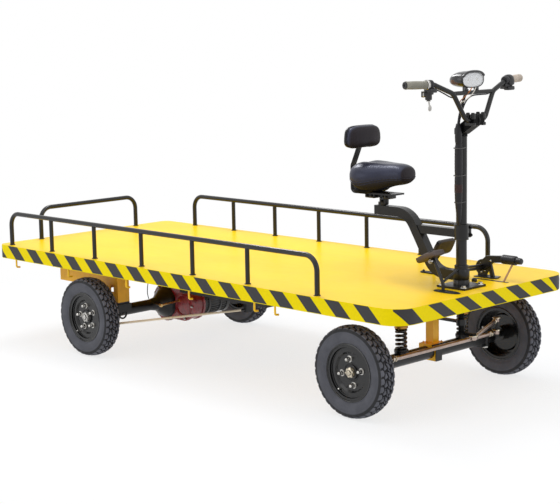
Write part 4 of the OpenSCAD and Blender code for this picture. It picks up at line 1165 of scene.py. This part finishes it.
class TRUCK_OT_controls(bpy.types.Operator):
    """Grips, throttle, key switch, switch cluster and clamp bolts"""
    bl_idname = "truck.controls"
    bl_label = "Controls"

    def execute(self, context):
        f = finishes()
        ends, plugs = Shape(), Shape()
        for side, material, name in ((-1, f.grip, "grip_right"), (1, f.pale_grip, "grip_left")):
            a, b = on_grip(side, 0.29), on_grip(side, 1.0)
            along = (b - a).normalized()
            span = (b - a).length
            profile = [(0, 0.0112), (0, 0.0172), (0.002, 0.0200), (0.006, 0.0200), (0.008, 0.0176)]
            ribs = 22
            for i in range(ribs):
                h = 0.010 + (span - 0.020) * i / ribs
                w = (span - 0.020) / ribs
                swell = 0.0172 + 0.0010 * math.sin(math.pi * i / ribs)
                profile += [(h, swell - 0.0007), (h + w * 0.25, swell), (h + w * 0.7, swell),
                            (h + w * 0.95, swell - 0.0007)]
            profile += [(span - 0.008, 0.0174), (span - 0.006, 0.0184), (span - 0.001, 0.0180), (span, 0.0160),
                        (span, 0.0112)]
            Shape().lathe(profile, a, along, 36).done(name, material, "steering", "grip_grey",
                                                      ["grips"] if side < 0 else ())
            plugs.lathe(mm(-6, 10.8, -1, 10.8, 1, 16, 3, 16.5, 4.5, 15, 5, 6, 1, 4), b, along, 30)
            ends.lathe(mm(-13, 11.5, -13, 21, -10, 22.8, -3, 22.8, 0, 21, 0, 11.5), a, along, 36)
        ends.done("grip_rings", f.steel, "steering", "zinc")
        plugs.done("grip_plugs", f.control, "steering", "control_black")
        a, b = on_grip(-1, 0.07), on_grip(-1, 0.24)
        along, span = (b - a).normalized(), (b - a).length
        house = Shape()
        house.lathe([(0, 0.0112), (0, 0.0185), (0.003, 0.0215), (span * 0.45, 0.0222), (span * 0.47, 0.0208),
                     (span * 0.53, 0.0208), (span * 0.55, 0.0222), (span - 0.003, 0.0215), (span, 0.0185),
                     (span, 0.0112)], a, along, 36)
        p = on_grip(-1, 0.155)
        base, barrel = p + vec(-0.006, 0, -0.066), p + vec(-0.006, 0, -0.040)
        house.lathe(mm(0, 6, 0, 13, 4, 15.2, 30, 15.2, 36, 13, 52, 11.8), base, Z, 30)
        house.block((0.034, 0.030, 0.026), p + vec(-0.006, 0.002, -0.030), UP, 0.004)
        house.block((0.026, 0.046, 0.020), p + vec(0.010, 0.004, -0.024), UP, 0.004)
        aside = vec(-0.75, -0.66, 0)
        house.lathe(mm(8, 10, 8, 14, 30, 14, 32, 12.5, 32, 4), barrel, aside, 28)
        house.done("throttle_housing", f.control, "steering", "control_black", ["throttle_switch"])
        key = Shape()
        key.lathe(mm(0, 5, -3, 10, -6, 9.8, -6, 4), base, Z, 26)
        key.block((0.0022, 0.009, 0.026), base + vec(0.001, 0.003, -0.016), Matrix.Rotation(0.25, 3, "X"), 0.0006)
        key.prism(oval(0.011, 0.013, 2.4, 24), -0.0012, 0.0012, Y, Z, base + vec(0.001, 0.008, -0.036), 0.0005)
        key.lathe(mm(20, 13.8, 20, 14.8, 26, 14.8, 26, 13.8), barrel, aside, 30)
        key.done("ignition_key", f.steel, "steering", "zinc")
        q = on_grip(1, 0.175)
        along = (on_grip(1, 1) - on_grip(1, 0)).normalized()
        pods = Shape()
        pods.lathe(mm(-19, 11.2, -19, 20.5, -15, 23.5, -2, 24, 0, 22.5, 2, 24, 15, 23.5, 19, 20.5, 19, 11.2),
                   q, along, 36)
        pods.block((0.040, 0.034, 0.040), q + vec(-0.004, 0, -0.022), UP, 0.007)
        pods.block((0.052, 0.026, 0.014), q + vec(-0.006, -0.010, -0.036), UP, 0.004)
        pods.block((0.046, 0.040, 0.030), q + vec(0.006, -0.006, -0.010), UP, 0.008)
        pods.block((0.030, 0.050, 0.018), q + vec(0.012, -0.008, -0.038), UP, 0.005)
        pods.lathe(mm(-46, 11.2, -46, 15, -40, 19, -22, 20, -18, 11.2), q, along, 32)
        pods.block((0.026, 0.036, 0.020), q + vec(0.008, -0.030, -0.024), UP, 0.006)
        pods.done("switch_housing", f.control, "steering", "control_black", ["switch_cluster"])
        keys = Shape()
        for z, w in ((0.004, 0.010), (-0.012, 0.013), (-0.027, 0.010)):
            keys.prism(oval(0.006, w * 0.45, 3, 20), 0, 0.004, Y, Z,
                       q + vec(-0.0285 if z > 0 else -0.024, 0.002, z) - X * 0.001, 0.001)
        keys.done("switch_buttons", f.amber, "steering", "lens_amber")
        c = clamp_at()
        posts = Shape()
        for x in (-0.014, 0.014):
            for y in (-0.036, 0.036):
                posts.lathe(mm(6, 6, 6, 12.5, 25, 12.5, 27, 11.2, 27, 5), c + vec(x, y, 0), Z, 22)
                posts.lathe(mm(27, 4, 27, 8.5, 32.5, 8.5, 34, 7.2, 34, 4, 31, 3.4), c + vec(x, y, 0), Z, 18)
        for y in (-0.036, 0.036):
            posts.block((0.050, 0.022, 0.014), c + vec(0, y, -0.018), UP, 0.003)
        posts.tube(arc(c, 0.0255, 0, 360, 36)[:-1], 0.0030, 8, closed=True)
        posts.done("clamp_bolts", f.black, "steering", "black_paint")
        return {"FINISHED"}


# ---------------------------------------------------------------- cables

# Control cables to the loom, in millimetres from the clamp's middle: forward, across, up
CABLES = {
    "throttle_cable": ((-40, -250, 152), (-36, -215, 139), (-32, -180, 124), (-30, -145, 109), (-31, -110, 101),
                       (-36, -80, 92), (-45, -56, 72), (-55, -42, 40), (-62, -38, 0), (-65, -40, -45),
                       (-65, -42, -90), (-63.3, -40.4, -130)),
    "lamp_cable": ((-36, -12, 138), (-46, -14, 116), (-54, -18, 86), (-60, -24, 52), (-64, -32, 16),
                   (-66, -38, -22), (-66, -41, -60), (-65, -41, -95), (-63.3, -40.4, -130)),
    "switch_cable": ((-40, 262, 146), (-36, 215, 138), (-34, 175, 124), (-34, 135, 110), (-32, 95, 109),
                     (-31, 55, 109), (-33, 18, 106), (-40, -6, 92), (-50, -18, 64), (-59, -28, 22),
                     (-65, -38, -30), (-65, -42, -85), (-63.3, -40.4, -140)),
}
# Wires from the lamp to the throttle's cable, likewise
LAMP_WIRES = {
    "orange_wire": ((6, -34, 146), (3, -41, 134), (-4, -48, 121), (-14, -53, 109), (-26, -56, 98), (-37, -57, 90),
                    (-44, -56.5, 80)),
    "white_wire": ((20, -22, 146), (16, -32, 128), (8, -43, 111), (-4, -51, 98), (-18, -55, 88), (-32, -57, 81),
                   (-45, -56, 73)),
}
# Sensor cable from the deck to the rear axle, in millimetres in the frame
AXLE_CABLE = ((-683, -178, 532), (-684, -178, 508), (-686, -178, 482), (-690, -178, 455), (-697, -178, 430),
              (-706, -177, 400), (-714, -176.5, 370), (-722, -176, 340), (-730, -174, 310), (-737, -169, 285),
              (-744, -160, 265), (-750, -150, 248))


def cord(name, route, radius, material, slot, body):
    """A cable on a smooth route that goes back into the truck; without a body it is attached to none."""
    path = flowing(route, 4)
    piece = Shape().tube(path, radius, 10).done(name, material, body, slot, ride=body is not None)
    span = sum((b - a).length for a, b in zip(path, path[1:]))
    2 * radius
    return piece


class TRUCK_OT_cables(bpy.types.Operator):
    """Control cables, lamp wires and the axle's sensor cable"""
    bl_idname = "truck.cables"
    bl_label = "Cables"

    def execute(self, context):
        sizes, f = context.scene.truck_sizes, finishes()
        c = clamp_at()
        for name, route in CABLES.items():
            radius = sizes.cable * (2.2 if name == "lamp_cable" else 1)
            piece = cord(name, [c + Vector(q) / 1000 for q in route], radius, f.loom, "loom_black", None)
            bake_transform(piece)
        for name, route in LAMP_WIRES.items():
            cord(name, [c + Vector(q) / 1000 for q in route], sizes.wire, getattr(f, name), "control_black",
                 "steering")
        cord("axle_cable", [Vector(q) / 1000 for q in AXLE_CABLE], sizes.cable * 0.8, f.loom, "loom_black",
             "chassis")
        return {"FINISHED"}


# ---------------------------------------------------------------- column

LOOM_SIDE = math.radians(290)
LOOM_AWAY = vec(math.cos(LOOM_SIDE), math.sin(LOOM_SIDE), 0)
COLUMN_R, SLEEVE_R, BASE_T = 0.025, 0.032, 0.010
SLEEVE_TOP, COLLAR_LOW, COLLAR_HIGH, COLLAR_R = 0.098, 0.222, 0.290, 0.033
# Loom from its top: share of its height, radius
LOOM = ((0.00, 0.0100), (0.015, 0.0150), (0.06, 0.0172), (0.09, 0.0178), (0.25, 0.0182), (0.36, 0.0178),
        (0.385, 0.0168), (0.405, 0.0168), (0.43, 0.0180), (0.56, 0.0180), (0.68, 0.0172), (0.78, 0.0150),
        (0.88, 0.0118), (0.96, 0.0085), (1.00, 0.0060))
# Ties and the red tape's ends, as shares of the loom's height
BANDS, RED_TAPE, LOOM_STEPS = (0.065, 0.395, 0.72), (0.50, 0.60), 64


def ring_at(z, radius, thick, shape, ripple=0.0):
    """Weld bead or band round the column."""
    path = arc((COLUMN_X, 0, z), radius, 0, 360, 60, X, Y)[:-1]
    shape.tube(path, [thick * (1 + ripple * math.sin(i * 2.1)) for i in range(60)], 8, closed=True)


class TRUCK_OT_column(bpy.types.Operator):
    """Column welds, base bolts, collar lug and the wrapped loom"""
    bl_idname = "truck.column"
    bl_label = "Column"

    def execute(self, context):
        f = finishes()
        welds = Shape()
        ring_at(DECK_Z + BASE_T + 0.001, SLEEVE_R + 0.001, 0.0042, welds, 0.18)
        ring_at(DECK_Z + SLEEVE_TOP, SLEEVE_R - 0.003, 0.0034, welds, 0.18)
        ring_at(DECK_Z + COLLAR_LOW, COLLAR_R - 0.001, 0.0022, welds)
        ring_at(DECK_Z + COLLAR_HIGH, COLLAR_R - 0.001, 0.0022, welds)
        ring_at(COLUMN_HIGH.z - 0.003, COLUMN_R + 0.0005, 0.0026, welds)
        welds.lathe([(BASE_T, 0.030), (BASE_T, 0.0375), (0.030, 0.0375), (0.032, 0.0362), (0.036, 0.0362),
                     (0.038, 0.0375), (0.078, 0.0375), (0.084, 0.0345), (0.084, 0.030)], (COLUMN_X, 0, DECK_Z), Z, 44)
        lug = vec(COLUMN_X + 0.008, COLLAR_R + 0.008, DECK_Z + (COLLAR_LOW + COLLAR_HIGH) / 2)
        welds.block((0.022, 0.020, 0.060), lug, UP, 0.003)
        for z in (-0.018, 0.018):
            welds.bolt(lug + vec(0.011, 0, z), X, 0.013)
        welds.done("column_welds", f.black, "chassis", "black_paint")
        bolts = Shape()
        for x in (-0.062, 0.062):
            for y in (-0.062, 0.062):
                at = vec(COLUMN_X + x, y, DECK_Z + BASE_T)
                bolts.lathe(mm(0, 8, 0, 16.5, 2, 16, 2, 8), at, Z, 24)
                bolts.hexagon(at + Z * 0.002, Z, 0.019, 0.008, x)
        bolts.done("base_bolts", f.nut, "chassis", "zinc")
        low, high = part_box("cable_loom")
        tall = high.z - low.z

        def loom_run(first, last, grow):
            path, radii = [], []
            for i in range(LOOM_STEPS + 1):
                t = first + (last - first) * i / LOOM_STEPS
                a, b = next((a, b) for a, b in zip(LOOM, LOOM[1:]) if t <= b[0])
                r = a[1] + (b[1] - a[1]) * (t - a[0]) / (b[0] - a[0])
                path.append(vec(COLUMN_X, 0, high.z - t * tall) + LOOM_AWAY * (COLUMN_R + r))
                radii.append(r + grow + 0.0003 * math.sin(i * 2.4))
            return Shape().tube(path, radii, 22)

        loom_run(0, 1, 0).done("loom_wrap", f.loom, "chassis", "loom_black", ["cable_loom"])
        path = [vec(COLUMN_X, 0, high.z - 0.006 + z) + LOOM_AWAY * (COLUMN_R + out)
                for z, out in ((0, 0.0170), (0.012, 0.0180), (0.030, 0.0200), (0.052, 0.0205), (0.074, 0.0200),
                               (0.092, 0.0190))]
        boot = Shape().tube(path, [0.0140, 0.0162, 0.0165, 0.0160, 0.0148, 0.0110], 22).done(
            "loom_boot", f.loom, "chassis", "loom_black", ride=False)
        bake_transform(boot)
        loom_run(*RED_TAPE, 0.0007).done("loom_tape", f.tape, "chassis", "loom_black")
        ties = Shape()
        for t in BANDS:
            z = high.z - t * tall
            reach = 0.0186 if t < 0.7 else 0.0156
            hoop = [vec(COLUMN_X, 0, z) + Vector(q) for q in band_path(COLUMN_R - 0.0022, reach, LOOM_AWAY)]
            ties.tube(hoop, 0.0019, 8, closed=True)
            ties.block((0.008, 0.006, 0.006), hoop[0] + LOOM_AWAY * 0.002, Matrix.Rotation(LOOM_SIDE, 3, "Z"), 0.001)
        ties.done("loom_ties", f.band, "chassis", "control_black")
        return {"FINISHED"}


HALF_BAND = 20


def band_path(big, small, away):
    """Loop drawn tight round the column and the loom beside it."""
    across = vec(-away.y, away.x, 0)
    gap = COLUMN_R + small
    lean = math.asin((big - small) / gap)
    loop = []
    for middle, r, start, end in ((gap, small, -math.pi / 2 + lean, math.pi / 2 - lean),
                                  (0, big, math.pi / 2 - lean, 3 * math.pi / 2 + lean)):
        for i in range(HALF_BAND + 1):
            a = start + (end - start) * i / HALF_BAND
            loop.append(away * (middle + r * math.cos(a)) + across * (r * math.sin(a)))
    return loop


# ---------------------------------------------------------------- pedals and lever


def pad_piece(name, at, tilt, size, bow, material):
    """Rubber pedal pad, bowed along its length, with ribs across its face."""
    turn, at = Matrix.Rotation(math.radians(tilt), 3, "Y"), Vector(at)
    long_half, wide_half, thick = size[0] / 2, size[1] / 2, size[2]

    def place(u, v, w):
        return at + turn @ vec(u, v, w - bow * (u / long_half) ** 2)

    shape, rings = Shape(), []
    for w, k in ((-0.50, 0.80), (-0.46, 0.92), (-0.25, 0.99), (0.10, 1.0), (0.36, 0.98), (0.47, 0.92), (0.50, 0.82)):
        rings.append([place(u * k, v * k, w * thick) for u, v in oval(long_half, wide_half, 4.0, 44)])
    shape.loft(rings)
    for i in range(7):
        u = (i - 3) / 3 * long_half * 0.72
        reach = wide_half * 0.80 * (1 - 0.3 * (u / long_half) ** 2)
        shape.tube([place(u, v * reach, thick * 0.5) for v in (-1, -0.9, -0.5, 0, 0.5, 0.9, 1)],
                   [0.0008, 0.0022, 0.0026, 0.0026, 0.0026, 0.0022, 0.0008], 8)
    return shape.done(name, material, "chassis", "black_paint")


def foot_plate(shape, at, half_u, half_v, thick):
    """Oval plate on the deck with a raised lip."""
    shape.prism(oval(half_u, half_v, 2.3, 40), 0, thick, X, Y, at, 0.0012)
    rim = [Vector(at) + vec(u, v, thick) for u, v in oval(half_u * 0.93, half_v * 0.86, 2.3, 40)]
    shape.tube(rim, 0.0016, 8, closed=True)


class TRUCK_OT_pedals(bpy.types.Operator):
    """Pedal rubbers, foot plates and the right pedal's joint"""
    bl_idname = "truck.pedals"
    bl_label = "Pedals"

    def execute(self, context):
        f = finishes()
        right = vec(COLUMN_X - 0.078, -0.130, DECK_Z + 0.152)
        pad_piece("pedal_pad_right", right, -25, (0.122, 0.100, 0.025), 0.003, f.pad)
        left = vec(COLUMN_X - 0.225, 0.150, DECK_Z + 0.147)
        pad_piece("pedal_pad_left", left, -62, (0.082, 0.136, 0.020), 0.002, f.left_pad)
        plates = Shape()
        foot_plate(plates, (COLUMN_X + 0.038, -0.152, DECK_Z), 0.074, 0.026, 0.003)
        foot_plate(plates, (COLUMN_X - 0.330, 0.185, DECK_Z + 0.0035), 0.070, 0.020, 0.002)
        for x in (-0.05, 0.05):
            plates.bolt((COLUMN_X - 0.330 + x, 0.185, DECK_Z + 0.005), Z, 0.011)
        plates.done("pedal_plates", f.loom, "chassis", "black_paint")
        joint = Shape()
        joint.lathe(mm(-10, 4, -10, 8.5, -4, 10.5, 4, 10.5, 10, 8.5, 10, 4), right + vec(0.018, -0.010, -0.022),
                    Y, 24)
        joint.bolt(right + vec(0.018, -0.022, -0.022), -Y, 0.012)
        joint.done("pedal_joint", f.steel, "chassis", "zinc")
        return {"FINISHED"}


# Parking lever: its quadrant's middle behind the column, across and above the deck
LEVER_BACK, LEVER_Y, LEVER_UP = 0.089, 0.275, 0.044


class TRUCK_OT_lever(bpy.types.Operator):
    """Parking lever: ratchet studs, sleeve, cap, links and slot edging"""
    bl_idname = "truck.lever"
    bl_label = "Parking lever"

    def execute(self, context):
        f = finishes()
        hub = vec(COLUMN_X - LEVER_BACK, LEVER_Y, DECK_Z + LEVER_UP)
        near = hub + vec(0, -0.010, 0)
        studs = Shape()
        spots = [hub + spoke(a) * 0.022 - Y * 0.004 for a in (0.4, 1.9, 3.4, 4.6, 5.6)]
        spots.append(near + vec(0.060, -0.006, 0.040))
        for at in spots:
            studs.lathe(mm(0, 3, 0, 5.2, 2.5, 5, 4, 3.4, 4.6, 1), at, -Y, 18)
        studs.done("lever_studs", f.nut, "chassis", "zinc")
        body = Shape()
        teeth = 30
        for i in range(teeth):
            a = math.radians(20 + 200 * i / teeth)
            body.block((0.0034, 0.0084, 0.0030), hub + spoke(a) * 0.0388, Matrix.Rotation(-a, 3, "Y"), 0.0006)
        body.lathe(mm(0, 6, 0, 12, 3, 12.5, 10, 12.5, 12, 11, 12, 4), near + vec(0, -0.006, 0), -Y, 26)
        grip = near + vec(0.126, 0, 0.054)
        profile = [(0, 0.015), (0, 0.0205), (0.003, 0.0222)]
        for i in range(6):
            h = 0.006 + 0.011 * i
            profile += [(h, 0.0222), (h + 0.006, 0.0222), (h + 0.007, 0.0208), (h + 0.010, 0.0208)]
        profile += [(0.073, 0.0222), (0.077, 0.0212), (0.078, 0.0150)]
        body.lathe(profile, grip, X, 34)
        body.lathe(mm(77, 12.5, 78, 15.5, 98, 15.5, 100, 13.5), grip, X, 28)
        for y in (-0.007, 0.007):
            body.tube([(COLUMN_X - 0.020, 0.026, hub.z + 0.028 + y), (COLUMN_X - 0.045, 0.110, hub.z + 0.022 + y),
                       (hub.x + 0.004, LEVER_Y - 0.006, hub.z + 0.004 + y)], 0.0066, 12)
        body.prism([(-0.004, 0.004), (0.008, 0.040), (0.030, 0.062), (0.128, 0.071), (0.128, 0.038), (0.070, 0.032),
                    (0.050, 0.010), (0.024, -0.004)], -0.008, 0.008, X, Z, near, 0.003)
        body.block((0.040, 0.030, 0.006), (near.x + 0.074, near.y + 0.002, DECK_Z + 0.003), UP, 0.0015)
        body.lathe(mm(0, 6, 0, 12, 6, 13.5, 14, 12, 18, 6), (COLUMN_X - 0.034, 0.140, DECK_Z), Z, 24)
        body.prism(oval(0.104, 0.0095, 3.2, 36), 0, 0.0014, X, Y, (COLUMN_X + 0.004, 0.215, DECK_Z), 0.0004)
        body.done("lever_body", f.control, "chassis", "black_paint")
        pull = Shape()
        top = near + vec(0.190, -0.004, 0.044)
        foot = vec(near.x + 0.168, 0.215, DECK_Z)
        pull.tube([top, top.lerp(foot, 0.12), top.lerp(foot, 0.88), foot], [0.0044, 0.0047, 0.0047, 0.0044], 14)
        pull.done("lever_rod", f.pull, "chassis", "seat_bronze")
        cap = Shape()
        cap.lathe(mm(99, 10, 99, 14.6, 106, 14.6, 110, 11, 111, 4), grip, X, 26)
        cap.done("lever_cap", f.control, "chassis", "black_paint")
        return {"FINISHED"}


# ---------------------------------------------------------------- axles

AXLE_Z = centre("rim_front_right").z
FRONT_X, REAR_X = centre("rim_front_right").x, centre("rim_rear_right").x
SPRING_Y, KINGPIN_Y, WIRE_R = 0.225, 0.405, 0.0068


# Cap over a rod end's pin: height, radius
PIN_CAP = ((0.0, 0.006), (0.0, 0.0205), (0.003, 0.0215), (0.0055, 0.0205), (0.0055, 0.006))


def coil(at, radius, low, high, turns):
    """Spring line with closed ends."""
    count = int(turns * 26)
    path, shut = [], 0.10
    for i in range(count + 1):
        t = i / count
        if t < shut:
            rise = 0.35 * t
        elif t > 1 - shut:
            rise = 1 - 0.35 * (1 - t)
        else:
            rise = 0.35 * shut + (t - shut) / (1 - 2 * shut) * (1 - 0.7 * shut)
        a = 2 * math.pi * turns * t
        path.append(vec(at[0] + radius * math.cos(a), at[1] + radius * math.sin(a), low + (high - low) * rise))
    return path


class TRUCK_OT_front_axle(bpy.types.Operator):
    """Coil springs with their cores and cups, rod end nuts, kingpin caps and post bolts"""
    bl_idname = "truck.front_axle"
    bl_label = "Front axle"

    def execute(self, context):
        sizes, f = context.scene.truck_sizes, finishes()
        low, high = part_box("front_springs")
        mean = (high.x - low.x) / 2 - WIRE_R + 0.0006
        coils, core, cup = Shape(), Shape(), Shape()
        for side in (-1, 1):
            at = (FRONT_X, side * SPRING_Y)
            coils.tube(coil(at, mean, low.z + WIRE_R, high.z - WIRE_R, 5.6), WIRE_R, 12)
            core.lathe(mm(-24, 6, -24, 9.5, -20, 11.8, -14, 11.2, -8, 14.2, 0, 14.2), (*at, high.z), Z, 28)
            cup.lathe(mm(-4, 20, -4, 33.5, 2, 34, 7, 32.5, 8, 30, 6, 29, 3, 20), (*at, low.z), Z, 36)
        coils.done("coil_springs", f.rail, "chassis", "spring_black", ["front_springs"])
        core.done("spring_cores", f.brass, "chassis", "seat_bronze")
        cup.done("spring_cups", f.black, "chassis", "spring_black")
        tie_low, tie_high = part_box("tie_rod")
        drag_low, drag_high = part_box("drag_link")
        tie = vec((tie_low.x + tie_high.x) / 2, 0, (tie_low.z + tie_high.z) / 2)
        nuts = Shape()
        for side in (-1, 1):
            for inset in (0.036, 0.052):
                at = vec(tie.x, side * (KINGPIN_Y - inset), tie.z)
                nuts.hexagon(at, (0, -side, 0), 0.024, 0.010, inset * 40)
            nuts.lathe(PIN_CAP, (tie.x, side * KINGPIN_Y, tie_high.z - 0.001), Z, 26)
        nuts.done("tie_rod_nuts", f.nut_gold, "tie_rod", "zinc")
        a = vec(COLUMN_X + tie.x - FRONT_X, 0, (drag_low.z + drag_high.z) / 2)
        b = vec(tie.x, KINGPIN_Y, a.z)
        ends, along = Shape(), (b - a).normalized()
        for at, way in ((a + along * 0.036, along), (b - along * 0.036, -along)):
            ends.hexagon(at, way, 0.022, 0.010, 0.2)
        for at in (a, b):
            ends.lathe(PIN_CAP, vec(at.x, at.y, drag_high.z - 0.001), Z, 26)
        ends.done("drag_link_nuts", f.nut_gold, "drag_link", "zinc")
        beam_low, beam_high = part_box("front_beam")
        caps = Shape()
        for side in (-1, 1):
            for z, way in ((beam_high.z, Z), (beam_low.z, -Z)):
                caps.hexagon(vec(FRONT_X, side * KINGPIN_Y, z) - way * 0.006, way, 0.026, 0.010, 0.4)
        caps.done("kingpin_nuts", f.steel, "chassis", "zinc")
        post = Shape()
        for x in (-0.028, 0.028):
            for y in (-0.033, 0.033):
                post.bolt((FRONT_X + x, y, AXLE_Z + 0.042), Z, sizes.bolt_across * 0.5)
        post.done("post_bolts", f.frame, "chassis", "frame_yellow")
        return {"FINISHED"}


GEAR_R, GEAR_LOW, GEAR_HIGH, MOTOR_BACK, MOTOR_R, MOTOR_L = 0.107, -0.025, 0.062, 0.150, 0.072, 0.200
LONG_Y, TUBE_R = 0.365, 0.041


class TRUCK_OT_rear_axle(bpy.types.Operator):
    """Gear case bolts and ribs, motor fins and cap, axle bands and the shift rod"""
    bl_idname = "truck.rear_axle"
    bl_label = "Rear axle"

    def execute(self, context):
        f = finishes()
        axle = vec(REAR_X, 0, AXLE_Z)
        motor = axle + X * MOTOR_BACK
        bolts = Shape()
        for y, way in ((GEAR_LOW, -Y), (GEAR_HIGH, Y)):
            for i in range(9):
                a = math.radians(70 + 220 * i / 8)
                bolts.bolt(axle + spoke(a) * (GEAR_R - 0.010) + Y * y, way, 0.013, False)
            if way.y < 0:
                for i in range(5):
                    a = math.radians(-80 + 160 * i / 4)
                    bolts.bolt(motor + spoke(a) * (MOTOR_R + 0.004) + Y * y, way, 0.013, False)
        bolts.done("gear_case_bolts", f.steel, "chassis", "zinc")
        trim = Shape()
        for r, thick in ((0.066, 0.004), (0.058, 0.005)):
            trim.tube(arc(motor + Y * GEAR_LOW, r, 0, 360, 48)[:-1], thick, 8, closed=True)
        for k in range(5):
            x = -0.040 + k * 0.036
            trim.block((0.008, GEAR_HIGH - GEAR_LOW - 0.030, 0.012),
                       axle + vec(x + 0.05, (GEAR_LOW + GEAR_HIGH) / 2, 0.084 - abs(k - 1) * 0.001), UP, 0.003)
        trim.done("gear_case_ribs", f.gear, "chassis", "gearbox_red")
        fins = Shape()
        count = 30
        for i in range(count):
            a = 2 * math.pi * i / count
            way = spoke(a)
            for first, last in ((0.023, 0.043), (0.059, MOTOR_L - 0.073), (MOTOR_L - 0.057, MOTOR_L - 0.023)):
                fins.block((0.0050, last - first, 0.0046),
                           motor + way * (MOTOR_R - 0.0035) + Y * (GEAR_HIGH + (first + last) / 2),
                           Matrix.Rotation(-a, 3, "Y"), 0.0010)
        cap = GEAR_HIGH + MOTOR_L
        fins.lathe([(cap - 0.002, MOTOR_R - 0.002), (cap + 0.004, MOTOR_R - 0.004), (cap + 0.010, MOTOR_R - 0.012),
                    (cap + 0.014, MOTOR_R - 0.026), (cap + 0.0175, MOTOR_R - 0.040), (cap + 0.018, 0.010)], motor,
                   Y, 44)
        fins.done("motor_fins", f.motor, "chassis", "motor_black")
        ends = Shape()
        for i in range(4):
            a = math.radians(45 + 90 * i)
            ends.bolt(motor + spoke(a) * (MOTOR_R - 0.017) + Y * (cap + 0.009), Y, 0.011)
        ends.done("motor_bolts", f.steel, "chassis", "zinc")
        bands = Shape()
        for side in (-1, 1):
            for y in (-0.036, 0.036):
                at = vec(REAR_X, side * LONG_Y + y * 0.6, AXLE_Z)
                bow = arc(at, TUBE_R + 0.004, 180, 360, 20)
                bands.tube([at + vec(-TUBE_R - 0.004, 0, 0.050), *bow, at + vec(TUBE_R + 0.004, 0, 0.050)],
                           0.0052, 10)
                for x in (-1, 1):
                    bands.hexagon(at + vec(x * (TUBE_R + 0.004), 0, 0.018), Z, 0.016, 0.009, 0.2)
        eyes = [axle + vec(0.114, y, z) for y, z in ((-0.158, 0.013), (-0.022, 0.020))]
        for p in eyes:
            bands.tube([p, p + vec(-0.030, 0.004, 0), p + vec(-0.080, 0.010, 0)], 0.0042, 10)
        bands.done("axle_bands", f.axle, "chassis", "black_paint")
        rod = Shape()
        for p in eyes:
            rod.lathe(mm(-8, 4, -8, 8.5, 8, 8.5, 8, 4), p, X, 20)
        rod.tube([axle + vec(0.114, -0.168 + 0.158 * t, 0.0125 + 0.0082 * t) for t in (0, 0.3, 0.7, 1)], 0.0050, 12)
        rod.done("gear_shift_rod", f.brass, "chassis", "seat_bronze")
        return {"FINISHED"}


# ---------------------------------------------------------------- deck

RAILS = ("guard_rail_right", "guard_rail_left", "guard_rail_rear")
RAIL_R = 0.0125
# Shares of the deck's half length where the side rails' posts stand
RAIL_FEET = {
    "guard_rail_right": (-0.940, -0.687, -0.433, -0.173, 0.090, 0.353, 0.657),
    "guard_rail_left": (-0.793, -0.560, -0.327, -0.093, 0.147, 0.400, 0.693),
}


def rail_feet(node):
    """Where a rail's posts stand on the deck; the rear hoop has only its ends."""
    low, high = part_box(node)
    mid = (low + high) / 2
    for share in RAIL_FEET.get(node, ()):
        yield vec(share * DECK_HIGH.x, mid.y, DECK_Z)
    if node not in RAIL_FEET:
        for y in (low.y + RAIL_R, high.y - RAIL_R):
            yield vec(mid.x, y, DECK_Z)


class TRUCK_OT_deck(bpy.types.Operator):
    """Weld beads at the rails' feet"""
    bl_idname = "truck.deck"
    bl_label = "Deck fittings"

    def execute(self, context):
        f = finishes()
        beads = Shape()
        for node in RAILS:
            for at in rail_feet(node):
                path = arc(at + Z * 0.0006, RAIL_R + 0.0008, 0, 360, 36, X, Y)[:-1]
                beads.tube(path, [0.0030 * (1 + 0.2 * math.sin(i * 2.3)) for i in range(36)], 8, closed=True)
        beads.done("rail_welds", f.rail, "chassis", "rail_black")
        return {"FINISHED"}


# ---------------------------------------------------------------- add-on

OPERATORS = (TRUCK_OT_stage, TRUCK_OT_cables, TRUCK_OT_paint, TRUCK_OT_tyres, TRUCK_OT_wheels, TRUCK_OT_saddle,
             TRUCK_OT_backrest, TRUCK_OT_lamp, TRUCK_OT_controls, TRUCK_OT_column, TRUCK_OT_pedals, TRUCK_OT_lever,
             TRUCK_OT_front_axle, TRUCK_OT_rear_axle, TRUCK_OT_deck)


class TRUCK_PT_looks(bpy.types.Panel):
    """Makes the truck's stage and pieces"""
    bl_idname = "TRUCK_PT_looks"
    bl_label = "Platform truck"
    bl_space_type = "VIEW_3D"
    bl_region_type = "UI"
    bl_category = "Truck"

    def draw(self, context):
        for group in (context.scene.truck_sizes, context.scene.truck_colours):
            for name in group.__annotations__:
                self.layout.prop(group, name)
        for operator in OPERATORS:
            self.layout.operator(operator.bl_idname)


CLASSES = (TruckSizes, TruckColours, *OPERATORS, TRUCK_PT_looks)


def register():
    for cls in CLASSES:
        bpy.utils.register_class(cls)
    bpy.types.Scene.truck_sizes = PointerProperty(type=TruckSizes)
    bpy.types.Scene.truck_colours = PointerProperty(type=TruckColours)


def unregister():
    del bpy.types.Scene.truck_colours
    del bpy.types.Scene.truck_sizes
    for cls in reversed(CLASSES):
        bpy.utils.unregister_class(cls)


def main():
    register()
    for operator in OPERATORS:
        group, name = operator.bl_idname.split(".")
        getattr(getattr(bpy.ops, group), name)()


if __name__ == "__main__":
    main()
